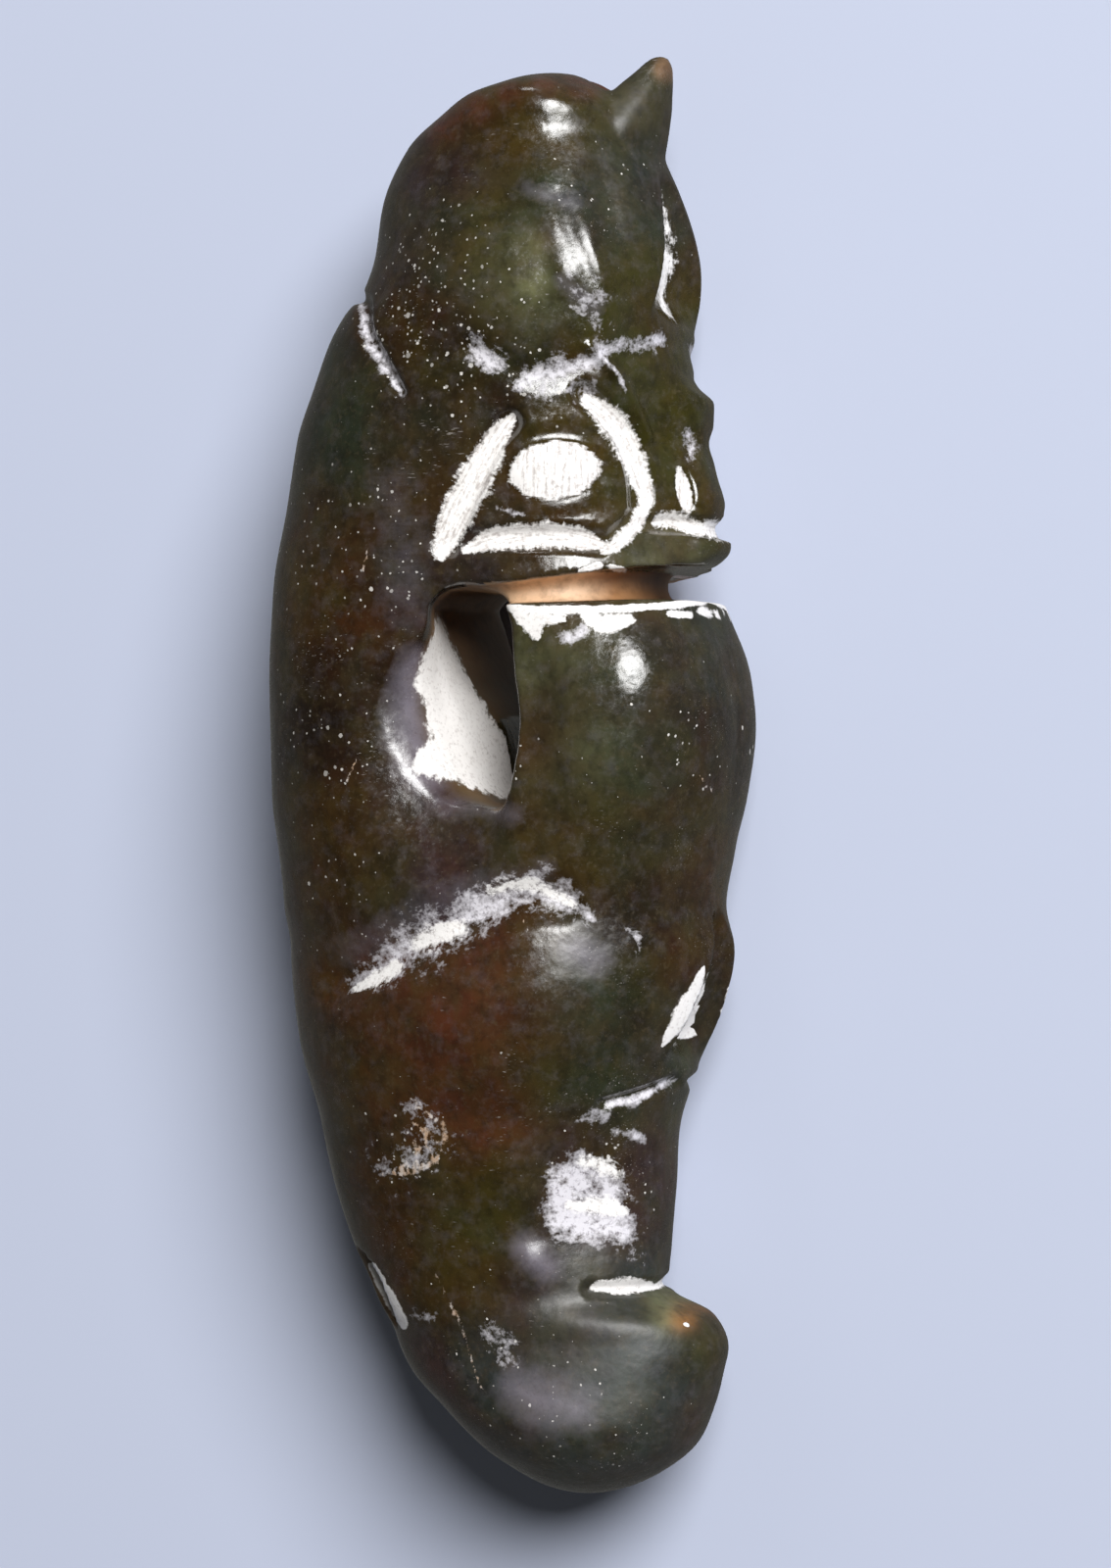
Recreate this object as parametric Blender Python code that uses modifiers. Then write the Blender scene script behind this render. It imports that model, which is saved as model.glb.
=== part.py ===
"""Pig dragon amulet: a curled animal figure, carved and drilled from one pebble of dark green jade.

The figure lies on its far flank, as it would on a table. +Y runs up the figure from the foot to the
tip of the horn, +X is the way the face looks, and +Z is the flank that shows. Lengths are in metres.

The carver's order is kept: the blank is roughed out, the eye of the coil, the saw cut and the cord
hole are made in it, the lines are cut into its flanks and front, and one flank is rubbed flat.
"""

import math

import bmesh
import bpy
import numpy as np
from mathutils import Matrix, Vector

NAME = "pig_dragon_amulet"

# Overall sizes
LENGTH = 0.1000
DEPTH = 0.0345
THICKNESS = 0.0232
REST_FLAT_DEPTH = 0.0005

# Eye of the coil, drilled through from flank to flank and flared at both
EYE_WIDTH = 0.0082
EYE_HEIGHT = 0.0152
EYE_FLARE = 0.0007

# Saw cut under the jaw, of even depth all the way around the front, with a rounded floor
CUT_AT_EYE = 0.0015
CUT_AT_MOUTH = 0.0028
CUT_DEPTH = 0.0039
CUT_FLOOR_RADIUS = 0.0009

# Cord hole at the small of the back, a curved passage from side to side
CORD_HOLE_WIDTH = 0.0026
CORD_HOLE_HEIGHT = 0.0052
CORD_HOLE_BEND = 0.0043

# Horn, which leans forward
HORN_BASE_WIDTH = 0.0078
HORN_TIP_WIDTH = 0.0012
HORN_HEIGHT = 0.0075
HORN_LEAN = math.radians(24)

# Fineness of the solid
RINGS = 190
SEGMENTS = 132
GRAIN = 0.00042
POLISH_ROUNDS = 3
FACETS = 9400

# Free form, in shares. A station is a height as a share of LENGTH, the middle and half of the
# depth there as shares of DEPTH, half the thickness as a share of THICKNESS, and a squareness,
# which is 2 for an ellipse.
STATIONS = (
    (0.000, 0.168, 0.000, 0.000, 2.0),
    (0.016, 0.172, 0.150, 0.190, 2.0),
    (0.034, 0.168, 0.220, 0.262, 2.1),
    (0.058, 0.150, 0.272, 0.308, 2.2),
    (0.084, 0.123, 0.322, 0.330, 2.3),
    (0.108, 0.111, 0.345, 0.335, 2.3),
    (0.125, 0.083, 0.341, 0.335, 2.3),
    (0.140, 0.028, 0.306, 0.335, 2.3),
    (0.173, 0.005, 0.328, 0.352, 2.3),
    (0.215, -0.010, 0.353, 0.385, 2.3),
    (0.257, -0.020, 0.368, 0.420, 2.3),
    (0.296, -0.018, 0.403, 0.452, 2.3),
    (0.337, -0.004, 0.443, 0.474, 2.3),
    (0.378, 0.004, 0.461, 0.474, 2.4),
    (0.410, -0.012, 0.454, 0.470, 2.4),
    (0.446, -0.008, 0.466, 0.480, 2.5),
    (0.487, -0.006, 0.480, 0.490, 2.6),
    (0.528, -0.003, 0.484, 0.494, 2.6),
    (0.569, -0.009, 0.478, 0.494, 2.6),
    (0.610, -0.026, 0.457, 0.490, 2.5),
    (0.651, -0.036, 0.440, 0.486, 2.5),
    (0.691, -0.036, 0.418, 0.484, 2.4),
    (0.732, -0.034, 0.400, 0.480, 2.4),
    (0.773, -0.012, 0.382, 0.466, 2.4),
    (0.801, 0.001, 0.364, 0.460, 2.4),
    (0.821, 0.021, 0.353, 0.456, 2.3),
    (0.836, 0.044, 0.335, 0.454, 2.3),
    (0.862, 0.055, 0.322, 0.444, 2.2),
    (0.903, 0.045, 0.292, 0.395, 2.2),
    (0.937, 0.057, 0.254, 0.325, 2.1),
    (0.960, 0.099, 0.205, 0.250, 2.0),
    (0.978, 0.124, 0.137, 0.165, 2.0),
    (0.986, 0.126, 0.000, 0.000, 2.0),
)

# Places in the plane of the coil, as shares of DEPTH and LENGTH
EYE_PLACE = (-0.022, 0.5525)
CUT_START = (0.030, 0.6240)
CUT_MOUTH = (0.470, 0.6350)
CORD_HOLE_PLACE = (-0.262, 0.1420)
HORN_TIP = (0.327, 1.0000)

# Outline of the coil's eye in the middle of the stone and at a flank, as shares of its size
EYE_MIDDLE = (
    (-0.45, 0.40), (-0.34, 0.13), (-0.10, -0.13), (0.00, -0.26), (0.14, -0.42), (0.34, -0.40),
    (0.42, -0.16), (0.42, 0.12), (0.39, 0.36), (0.26, 0.45), (-0.16, 0.46),
)
EYE_FLANK = (
    (-0.10, 0.40), (-0.23, 0.20), (-0.25, -0.12), (-0.10, -0.35), (0.24, -0.47), (0.48, -0.37),
    (0.56, -0.14), (0.54, 0.12), (0.48, 0.38), (0.34, 0.47), (0.06, 0.49),
)
EYE_LEVELS = (-1.5, -1.0, -0.6, -0.3, 0.0, 0.3, 0.6, 1.0, 1.5)

# Marks on a flank are set out looking a little from the front, as a carver holds the stone, so a
# mark's first share also falls with the height of the stone at it. The second is of LENGTH.
SIGHT_ACROSS = 0.94
SIGHT_SLANT = 0.23

# Swellings: middle, half width and half height as shares, and height in metres
SWELLINGS = (
    ((0.056, 0.858), 0.175, 0.064, 0.0011),
    ((0.258, 0.531), 0.245, 0.092, 0.0008),
    ((0.031, 0.326), 0.300, 0.085, 0.0006),
    ((0.066, 0.175), 0.060, 0.016, 0.0004),
)
# Hollows, the same, with depths
HOLLOWS = (
    ((0.222, 0.211), 0.125, 0.060, 0.0010),
    ((-0.159, 0.549), 0.150, 0.110, 0.0014),
)

# Lines of the carving: route, width and depth in metres, share of the width that has a flat floor
EAR_VALLEY = ((0.211, 0.979), (0.215, 0.908), (0.234, 0.821))
EAR_ARC = ((-0.118, 0.897), (0.002, 0.916), (0.134, 0.902))
BROW = ((-0.079, 0.792), (0.002, 0.780), (0.079, 0.777), (0.331, 0.796))
CHEEK = ((0.006, 0.740), (-0.060, 0.701), (-0.130, 0.655))
MOUTH = ((-0.095, 0.663), (0.041, 0.663), (0.180, 0.663))
SNOUT_SIDE = ((0.153, 0.792), (0.219, 0.766), (0.263, 0.724), (0.257, 0.684), (0.180, 0.663))
SNOUT = ((0.247, 0.672), (0.350, 0.671), (0.442, 0.667))
HAUNCH = (
    (-0.337, 0.358), (-0.230, 0.375), (-0.134, 0.397), (-0.037, 0.417), (0.060, 0.425),
    (0.166, 0.402), (0.234, 0.377),
)
SHIN_CREASE = ((0.200, 0.277), (0.263, 0.279), (0.331, 0.289))
ANKLE_CREASE = ((0.079, 0.148), (0.172, 0.146), (0.344, 0.153))
NAPE_CREASE = ((-0.290, 0.826), (-0.286, 0.806), (-0.264, 0.785), (-0.225, 0.762))
LINES = (
    (EAR_VALLEY, 0.0056, 0.0012, 0.0),
    (EAR_ARC, 0.0026, 0.0003, 0.0),
    (BROW, 0.0022, 0.0005, 0.0),
    (CHEEK, 0.0024, 0.0008, 0.3),
    (MOUTH, 0.0026, 0.0009, 0.4),
    (SNOUT_SIDE, 0.0030, 0.0009, 0.2),
    (SNOUT, 0.0019, 0.0008, 0.3),
    (HAUNCH, 0.0042, 0.0008, 0.0),
    (SHIN_CREASE, 0.0014, 0.0005, 0.0),
    (ANKLE_CREASE, 0.0016, 0.0006, 0.0),
    (NAPE_CREASE, 0.0016, 0.0006, 0.0),
)

# Eye of the animal: an oval boss in a ring groove
PUPIL = (0.093, 0.707)
PUPIL_HALF_WIDTH = 0.0038
PUPIL_HALF_HEIGHT = 0.0023
PUPIL_RISE = 0.0004
RING_WIDTH = 0.0010
RING_DEPTH = 0.0005

# Grooves down the middle of the front, between the ears and between the knees: heights of the top
# and foot as shares of LENGTH, half width at the foot and depth in metres
FRONT_GROOVES = (
    (0.920, 0.800, 0.0050, 0.0022),
    (0.410, 0.292, 0.0047, 0.0024),
)
# Groove down the middle of the crest and nape: top and foot, half width and depth
NAPE_GROOVE = (0.850, 0.0016, 0.0010)

# Nose: a narrow block on the front of the head. A row is a height as a share of LENGTH and how far
# the nose stands out there, and the pockets on each side of its bridge are hollows.
NOSE_HALF_WIDTH = 0.0033
NOSE_PROFILE = (
    (0.779, 0.0000),
    (0.768, 0.0008),
    (0.757, 0.0020),
    (0.742, 0.0020),
    (0.728, 0.0016),
    (0.706, 0.0018),
    (0.688, 0.0021),
    (0.678, 0.0017),
    (0.662, 0.0021),
    (0.652, 0.0019),
    (0.642, 0.0000),
)
POCKETS = (
    ((0.368, 0.746), 0.0007, 0.0019, 0.0007),
    ((0.366, 0.700), 0.0008, 0.0016, 0.0007),
)


def smooth_step(low, high, value):
    """0 below low, 1 above high, and an S between them."""
    share = np.clip((value - low) / (high - low), 0.0, 1.0)
    return share * share * (3 - 2 * share)


def through(heights, values, at):
    """A smooth curve through the values that never overshoots them."""
    heights = np.array(heights, float)
    values = np.array(values, float)
    rise = np.diff(values) / np.diff(heights)
    before, after = rise[:-1], rise[1:]
    tangent = np.concatenate(([rise[0]], np.zeros(len(before)), [rise[-1]]))
    steady = before * after > 0
    tangent[1:-1][steady] = (2 * before * after / (before + after + 1e-30))[steady]
    span = np.clip(np.searchsorted(heights, at) - 1, 0, len(rise) - 1)
    step = np.diff(heights)[span]
    t = np.clip((at - heights[span]) / step, 0.0, 1.0)
    return (
        (1 + 2 * t) * (1 - t) ** 2 * values[span]
        + t * (1 - t) ** 2 * step * tangent[span]
        + t * t * (3 - 2 * t) * values[span + 1]
        + t * t * (t - 1) * step * tangent[span + 1]
    )


def bent(route, steps=6):
    """The route as a smooth bend with steps pieces between each two points."""
    points = [Vector(p) for p in route]
    ends = [points[0] * 2 - points[1], *points, points[-1] * 2 - points[-2]]
    made = []
    for a, b, c, d in zip(ends, ends[1:], ends[2:], ends[3:]):
        slope = c - a
        pull = 2 * a - 5 * b + 4 * c - d
        twist = 3 * b - a - 3 * c + d
        for k in range(steps):
            t = k / steps
            made.append(b + 0.5 * (slope * t + pull * t**2 + twist * t**3))
    return np.array([*made, points[-1]])


def distance_to(route, places):
    """Distance of each place from a bent route on the plane."""
    nearest = np.full(len(places), np.inf)
    for start, end in zip(route, route[1:]):
        along = end - start
        share = np.clip((places - start) @ along / (along @ along), 0.0, 1.0)
        gap = places - start - share[:, None] * along
        nearest = np.minimum(nearest, np.hypot(gap[:, 0], gap[:, 1]))
    return nearest


def points_of(mesh):
    points = np.empty(len(mesh.vertices) * 3, np.float32)
    mesh.vertices.foreach_get("co", points)
    return points.reshape(-1, 3).astype(float)


def normals_of(mesh):
    normals = np.empty(len(mesh.vertices) * 3, np.float32)
    mesh.vertex_normals.foreach_get("vector", normals)
    return normals.reshape(-1, 3).astype(float)


def put_points(mesh, points):
    mesh.vertices.foreach_set("co", points.astype(np.float32).ravel())
    mesh.update()


def collection_of(name):
    made = bpy.data.collections.new(name)
    bpy.context.scene.collection.children.link(made)
    return made


def object_from(name, shape, collection):
    """A new object with the bmesh's shape."""
    mesh = bpy.data.meshes.new(name)
    shape.to_mesh(mesh)
    shape.free()
    made = bpy.data.objects.new(name, mesh)
    collection.objects.link(made)
    return made


def sighted(points):
    """Each point's place among the marks of a flank, in metres."""
    lean = SIGHT_SLANT * np.abs(points[:, 2]) / THICKNESS
    across = SIGHT_ACROSS * points[:, 0] / DEPTH - lean
    return np.stack((across * DEPTH, points[:, 1]), axis=1)


def mark(place):
    """A place on the plane in metres, from its shares."""
    return np.array((place[0] * DEPTH, place[1] * LENGTH))


def dome(places, middle, half_width, half_height):
    """1 at the middle of an oval, falling softly to 0 at its edge."""
    offset = (places - mark(middle)) / (half_width, half_height)
    return np.clip(1 - (offset**2).sum(axis=1), 0.0, 1.0) ** 1.5


def around(at, turn):
    """Places on the outline of the figure's sections: heights as shares, and turns around them."""
    columns = list(zip(*STATIONS))
    heights = columns[0]
    middle = through(heights, columns[1], at) * DEPTH
    half_depth = np.sqrt(through(heights, np.square(columns[2]), at).clip(0)) * DEPTH
    half_thickness = np.sqrt(through(heights, np.square(columns[3]), at).clip(0)) * THICKNESS
    power = 2 / through(heights, columns[4], at)
    across = np.sign(np.cos(turn)) * np.abs(np.cos(turn)) ** power
    up = np.sign(np.sin(turn)) * np.abs(np.sin(turn)) ** power
    return middle + half_depth * across, half_thickness * up


def roughed_out(points):
    """Takes the points of a unit ball to the figure's sections."""
    at = (1 + points[:, 2]) / 2 * STATIONS[-1][0]
    across, up = around(at, np.arctan2(points[:, 1], points[:, 0]))
    return np.stack((across, at * LENGTH, -up), axis=1)


def with_nose(points):
    """Pushes the middle of the head's front out to the nose."""
    share = points[:, 1] / LENGTH
    rows = sorted(NOSE_PROFILE)
    rise = through([row[0] for row in rows], [row[1] for row in rows], share)
    inside = (share > rows[0][0]) & (share < rows[-1][0])
    width = 1 - smooth_step(0.72, 1.08, np.abs(points[:, 2]) / NOSE_HALF_WIDTH)
    ahead = smooth_step(0.0, 0.2, points[:, 0] / DEPTH)
    points[:, 0] += np.where(inside, rise * width * ahead, 0.0)
    return points


def blank(collection):
    """The roughed-out figure, before anything is cut through it."""
    ball = bmesh.new()
    bmesh.ops.create_uvsphere(ball, u_segments=SEGMENTS, v_segments=RINGS, radius=1)
    figure = object_from(NAME, ball, collection)
    mesh = figure.data
    put_points(mesh, with_nose(roughed_out(points_of(mesh))))
    points = points_of(mesh)
    places = sighted(points)
    rise = np.zeros(len(points))
    for middle, half_width, half_height, height in SWELLINGS:
        rise += height * dome(places, middle, half_width * DEPTH, half_height * LENGTH)
    for middle, half_width, half_height, depth in HOLLOWS:
        rise -= depth * dome(places, middle, half_width * DEPTH, half_height * LENGTH)
    put_points(mesh, points + normals_of(mesh) * rise[:, None])
    return figure


def horn(collection):
    """The horn, a tapered spike that rises from the middle of the brow plate."""
    spike = bmesh.new()
    bmesh.ops.create_cone(
        spike,
        cap_ends=True,
        segments=24,
        radius1=HORN_BASE_WIDTH / 2,
        radius2=HORN_TIP_WIDTH / 2,
        depth=HORN_HEIGHT,
    )
    way = Vector((math.sin(HORN_LEAN), math.cos(HORN_LEAN), 0))
    turn = way.to_track_quat("Z", "Y").to_matrix().to_4x4()
    tip = Vector((*mark(HORN_TIP), 0))
    middle = Matrix.Translation(tip - way * HORN_HEIGHT / 2)
    bmesh.ops.transform(spike, verts=spike.verts, matrix=middle @ turn)
    return object_from("horn", spike, collection)


def lofted(name, rings, collection):
    """A closed solid through the rings of points, with a flat cap on its first and last."""
    shape = bmesh.new()
    loops = [[shape.verts.new(point) for point in ring] for ring in rings]
    for low, high in zip(loops, loops[1:]):
        for k in range(len(low)):
            shape.faces.new((low[k - 1], low[k], high[k], high[k - 1]))
    shape.faces.new(loops[0])
    shape.faces.new(loops[-1])
    bmesh.ops.recalc_face_normals(shape, faces=shape.faces)
    return object_from(name, shape, collection)


def eye_ring(level):
    """The eye's outline at a level from 0 in the middle of the stone to 1 at a flank."""
    share = abs(level) ** 1.5
    mixed = [Vector(a).lerp(Vector(b), share) for a, b in zip(EYE_MIDDLE, EYE_FLANK)]
    ring = bent([*mixed, mixed[0]], 4)[:-1]
    out = ring - ring.mean(axis=0)
    out /= np.linalg.norm(out, axis=1)[:, None]
    ring = mark(EYE_PLACE) + ring * (EYE_WIDTH, EYE_HEIGHT) + out * EYE_FLARE * share
    return [(x, y, level * THICKNESS / 2) for x, y in ring]


def saw_rings():
    """Outlines of the saw cut, one after the other from the eye around the front to the eye."""
    start, mouth = mark(CUT_START), mark(CUT_MOUTH)
    turn = np.linspace(-math.pi, math.pi, 181)
    across, up = around(np.full(len(turn), CUT_START[1]), turn)
    out = np.stack((np.gradient(up), -np.gradient(across)), axis=1)
    out /= np.linalg.norm(out, axis=1)[:, None]
    floor = CUT_DEPTH - CUT_FLOOR_RADIUS
    rings = []
    for x, z, way in zip(across, up, out):
        if x < start[0]:
            continue
        share = (x - start[0]) / (mouth[0] - start[0])
        height = start[1] + share * (mouth[1] - start[1])
        half = (CUT_AT_EYE + share * (CUT_AT_MOUTH - CUT_AT_EYE)) / 2
        profile = [(CUT_DEPTH, half), (CUT_DEPTH, -half)]
        for k in range(-4, 5):
            bend = math.radians(22.5 * k)
            profile.append((-floor - CUT_FLOOR_RADIUS * math.cos(bend), half * math.sin(bend)))
        rings.append([(x + gap * way[0], height + rise, z + gap * way[1]) for gap, rise in profile])
    return rings


def cord_hole_cutter(collection):
    """The cord hole, part of an upright ring that dips into the back from side to side."""
    ring = bmesh.new()
    bmesh.ops.create_circle(ring, segments=20, radius=0.5)
    size = Matrix.Diagonal((CORD_HOLE_WIDTH, CORD_HOLE_HEIGHT, 1, 1))
    shift = Matrix.Translation((CORD_HOLE_BEND, 0, 0))
    bmesh.ops.transform(ring, verts=ring.verts, matrix=shift @ size)
    bmesh.ops.spin(
        ring,
        geom=ring.verts[:] + ring.edges[:],
        cent=(0, 0, 0),
        axis=(0, 1, 0),
        angle=2 * math.pi,
        steps=48,
        use_merge=True,
    )
    bmesh.ops.remove_doubles(ring, verts=ring.verts, dist=1e-7)
    bmesh.ops.recalc_face_normals(ring, faces=ring.faces)
    bmesh.ops.translate(ring, verts=ring.verts, vec=(*mark(CORD_HOLE_PLACE), 0))
    return object_from("cord_hole_cutter", ring, collection)


def boolean(target, other, operation):
    step = target.modifiers.new(other.name, "BOOLEAN")
    step.object = other
    step.operation = operation
    step.solver = "EXACT"


def settled(figure):
    """Makes the figure's modifiers part of its mesh."""
    bpy.context.view_layer.update()
    graph = bpy.context.evaluated_depsgraph_get()
    mesh = bpy.data.meshes.new_from_object(figure.evaluated_get(graph))
    figure.modifiers.clear()
    old = figure.data
    figure.data = mesh
    bpy.data.meshes.remove(old)
    mesh.name = NAME


def front_groove(points, top, foot, half_width, depth):
    """How deep a groove that widens downwards cuts at each point, measured from the middle."""
    share = points[:, 1] / LENGTH
    spread = np.clip((top - share) / (top - foot), 0.0, 1.0)
    ends = smooth_step(0.0, 0.12, spread) * (1 - smooth_step(0.70, 1.0, spread))
    wide = half_width * (0.05 + 0.95 * spread**0.6)
    across = np.clip(np.abs(points[:, 2]) / wide, 0.0, 1.0)
    return depth * ends * spread**0.5 * (1 - across**2)


def nape_groove(points, normals):
    """How deep the groove down the middle of the crest and nape cuts at each point."""
    foot, half_width, depth = NAPE_GROOVE
    run_out = smooth_step(foot, foot + 0.02, points[:, 1] / LENGTH)
    behind_horn = 1 - smooth_step(0.18, 0.25, points[:, 0] / DEPTH)
    outside = smooth_step(0.1, 0.5, np.maximum(-normals[:, 0], normals[:, 1]))
    across = 1 - smooth_step(0.0, 1.0, np.abs(points[:, 2]) / half_width)
    return depth * run_out * behind_horn * outside * across


def lined(figure):
    """Cuts the lines of the carving into both flanks, the front and the crest."""
    mesh = figure.data
    points = points_of(mesh)
    normals = normals_of(mesh)
    places = sighted(points)
    cut = np.zeros(len(points))
    for route, width, depth, flat in LINES:
        gap = distance_to(np.array([mark(p) for p in bent(route)]), places)
        cut = np.maximum(cut, depth * (1 - smooth_step(flat, 1.0, gap / (width / 2))))
    offset = (places - mark(PUPIL)) / (PUPIL_HALF_WIDTH, PUPIL_HALF_HEIGHT)
    from_pupil = np.hypot(offset[:, 0], offset[:, 1])
    from_ring = np.abs(from_pupil - 1) * PUPIL_HALF_HEIGHT
    cut = np.maximum(cut, RING_DEPTH * (1 - smooth_step(0.0, 1.0, from_ring / (RING_WIDTH / 2))))
    cut -= PUPIL_RISE * np.clip(1 - from_pupil**2, 0.0, 1.0)
    for middle, half_width, half_height, depth in POCKETS:
        cut += depth * dome(places, middle, half_width, half_height)
    cut += nape_groove(points, normals)
    cut_ahead = sum(front_groove(points, *groove) for groove in FRONT_GROOVES)
    cut_ahead *= smooth_step(0.3, 0.7, normals[:, 0])
    points -= normals * cut[:, None]
    points[:, 0] -= cut_ahead
    put_points(mesh, points)


def resting_flat(figure, collection):
    """A slab under the figure, up to the level of the flat that it rests on."""
    level = points_of(figure.data)[:, 2].min() + REST_FLAT_DEPTH
    slab = bmesh.new()
    bmesh.ops.create_cube(slab, size=1)
    size = Matrix.Diagonal((2 * DEPTH, 2 * LENGTH, THICKNESS, 1))
    place = Matrix.Translation((0, LENGTH / 2, level - THICKNESS / 2))
    bmesh.ops.transform(slab, verts=slab.verts, matrix=place @ size)
    return object_from("resting_flat", slab, collection)


def placed(figure):
    """Moves the figure so that the origin is under the middle of its box, on the table."""
    points = points_of(figure.data)
    low, high = points.min(axis=0), points.max(axis=0)
    middle = (low + high) / 2
    put_points(figure.data, points - (middle[0], middle[1], low[2]))


def jade():
    """Dark green jade with a worn polish."""
    made = bpy.data.materials.new("jade")
    made.use_nodes = True
    shader = made.node_tree.nodes["Principled BSDF"]
    shader.inputs["Base Color"].default_value = (0.035, 0.042, 0.022, 1)
    shader.inputs["Roughness"].default_value = 0.2
    shader.inputs["Metallic"].default_value = 0.0
    shader.inputs["IOR"].default_value = 1.62
    return made


def carve():
    for thing in list(bpy.data.objects):
        bpy.data.objects.remove(thing, do_unlink=True)
    parts = collection_of(NAME)
    cutters = collection_of("cutters")
    figure = blank(parts)
    boolean(figure, horn(cutters), "UNION")
    eye = lofted("eye_cutter", [eye_ring(level) for level in EYE_LEVELS], cutters)
    saw_cut = lofted("saw_cutter", saw_rings(), cutters)
    for cutter in (eye, saw_cut, cord_hole_cutter(cutters)):
        boolean(figure, cutter, "DIFFERENCE")
    skin = figure.modifiers.new("one skin", "REMESH")
    skin.mode = "VOXEL"
    skin.voxel_size = GRAIN
    polish = figure.modifiers.new("polish", "SMOOTH")
    polish.factor = 0.5
    polish.iterations = POLISH_ROUNDS
    settled(figure)
    lined(figure)
    facets = figure.modifiers.new("facets", "DECIMATE")
    facets.ratio = FACETS / (2 * len(figure.data.polygons))
    settled(figure)
    boolean(figure, resting_flat(figure, cutters), "DIFFERENCE")
    settled(figure)
    placed(figure)
    figure.data.materials.clear()
    figure.data.materials.append(jade())
    figure.data.shade_smooth()
    figure.data.set_sharp_from_angle(angle=math.radians(50))
    for cutter in cutters.objects:
        cutter.hide_render = True
        cutter.display_type = "WIRE"


carve()
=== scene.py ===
# %% [markdown]
# # A pig dragon amulet in dark jade
#
# The real object is a curled animal, ten centimetres long, carved from one pebble of dark green
# jade. A carver saws and drills such a stone with wet sand, so its lines are soft valleys and its
# holes flare like funnels. Long burial left pale mineral deposits in every hollow that a cloth
# can't reach.
#
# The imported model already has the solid. This notebook carves the same stone again, much finer,
# paints where the deposits lie, and gives it a jade finish.

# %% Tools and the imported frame
import math

import bmesh
import bpy
import numpy as np
from mathutils import Matrix, Vector


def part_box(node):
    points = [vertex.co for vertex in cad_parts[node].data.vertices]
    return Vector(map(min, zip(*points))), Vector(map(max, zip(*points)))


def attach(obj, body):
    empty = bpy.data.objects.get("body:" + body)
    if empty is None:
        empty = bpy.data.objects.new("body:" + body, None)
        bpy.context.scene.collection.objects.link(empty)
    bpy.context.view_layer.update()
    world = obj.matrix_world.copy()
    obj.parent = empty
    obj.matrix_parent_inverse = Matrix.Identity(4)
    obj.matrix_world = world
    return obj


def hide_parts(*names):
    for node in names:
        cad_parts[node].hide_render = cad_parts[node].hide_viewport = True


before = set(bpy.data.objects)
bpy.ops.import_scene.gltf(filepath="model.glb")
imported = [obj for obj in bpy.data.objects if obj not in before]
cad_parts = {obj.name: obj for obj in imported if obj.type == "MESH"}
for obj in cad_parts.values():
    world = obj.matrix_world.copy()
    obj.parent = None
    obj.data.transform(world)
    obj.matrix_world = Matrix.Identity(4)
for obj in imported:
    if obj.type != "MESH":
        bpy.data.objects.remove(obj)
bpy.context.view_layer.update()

# %% [markdown]
# ## Sizes
#
# The carving is set out standing up, as a carver draws it: x towards the way the face looks, y up
# from the foot, z out of the near flank, and the middle of the stone at z = 0. Only the finished
# stone is laid down on its flank. Lengths are in metres, and MM turns millimetres into them.

# %% The sizes of the stone
MM = 0.001
LENGTH = 100 * MM
DEPTH = 34.5 * MM
THICKNESS = 23.2 * MM
REST_FLAT_DEPTH = 0.5 * MM

# A place is a share of the depth and a share of the length
EYE_WIDTH = 8.2 * MM
EYE_HEIGHT = 15.2 * MM
EYE_PLACE = (-0.022, 0.5525)

CUT_AT_EYE = 1.15 * MM
CUT_AT_MOUTH = 2.5 * MM
CUT_DEPTH_AT_EYE = 2.4 * MM
CUT_DEPTH = 3.9 * MM
CUT_FLOOR_RADIUS = 0.9 * MM
CUT_START = (0.030, 0.6210)
CUT_MOUTH = (0.470, 0.6325)

CORD_HOLE_WIDTH = 2.6 * MM
CORD_HOLE_HEIGHT = 5.2 * MM
CORD_HOLE_BEND = 4.3 * MM
CORD_HOLE_PLACE = (-0.262, 0.1420)

# %% [markdown]
# ## The blank
#
# A free form like this has no straight part to start from. It could be sculpted freely, but a
# table of sections is easier to check: at each height it gives the middle and half of the depth,
# half of the thickness, and how square the section is. A ball of many rings is then pulled onto
# the sections, which keeps the points even and the poles closed.

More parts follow.
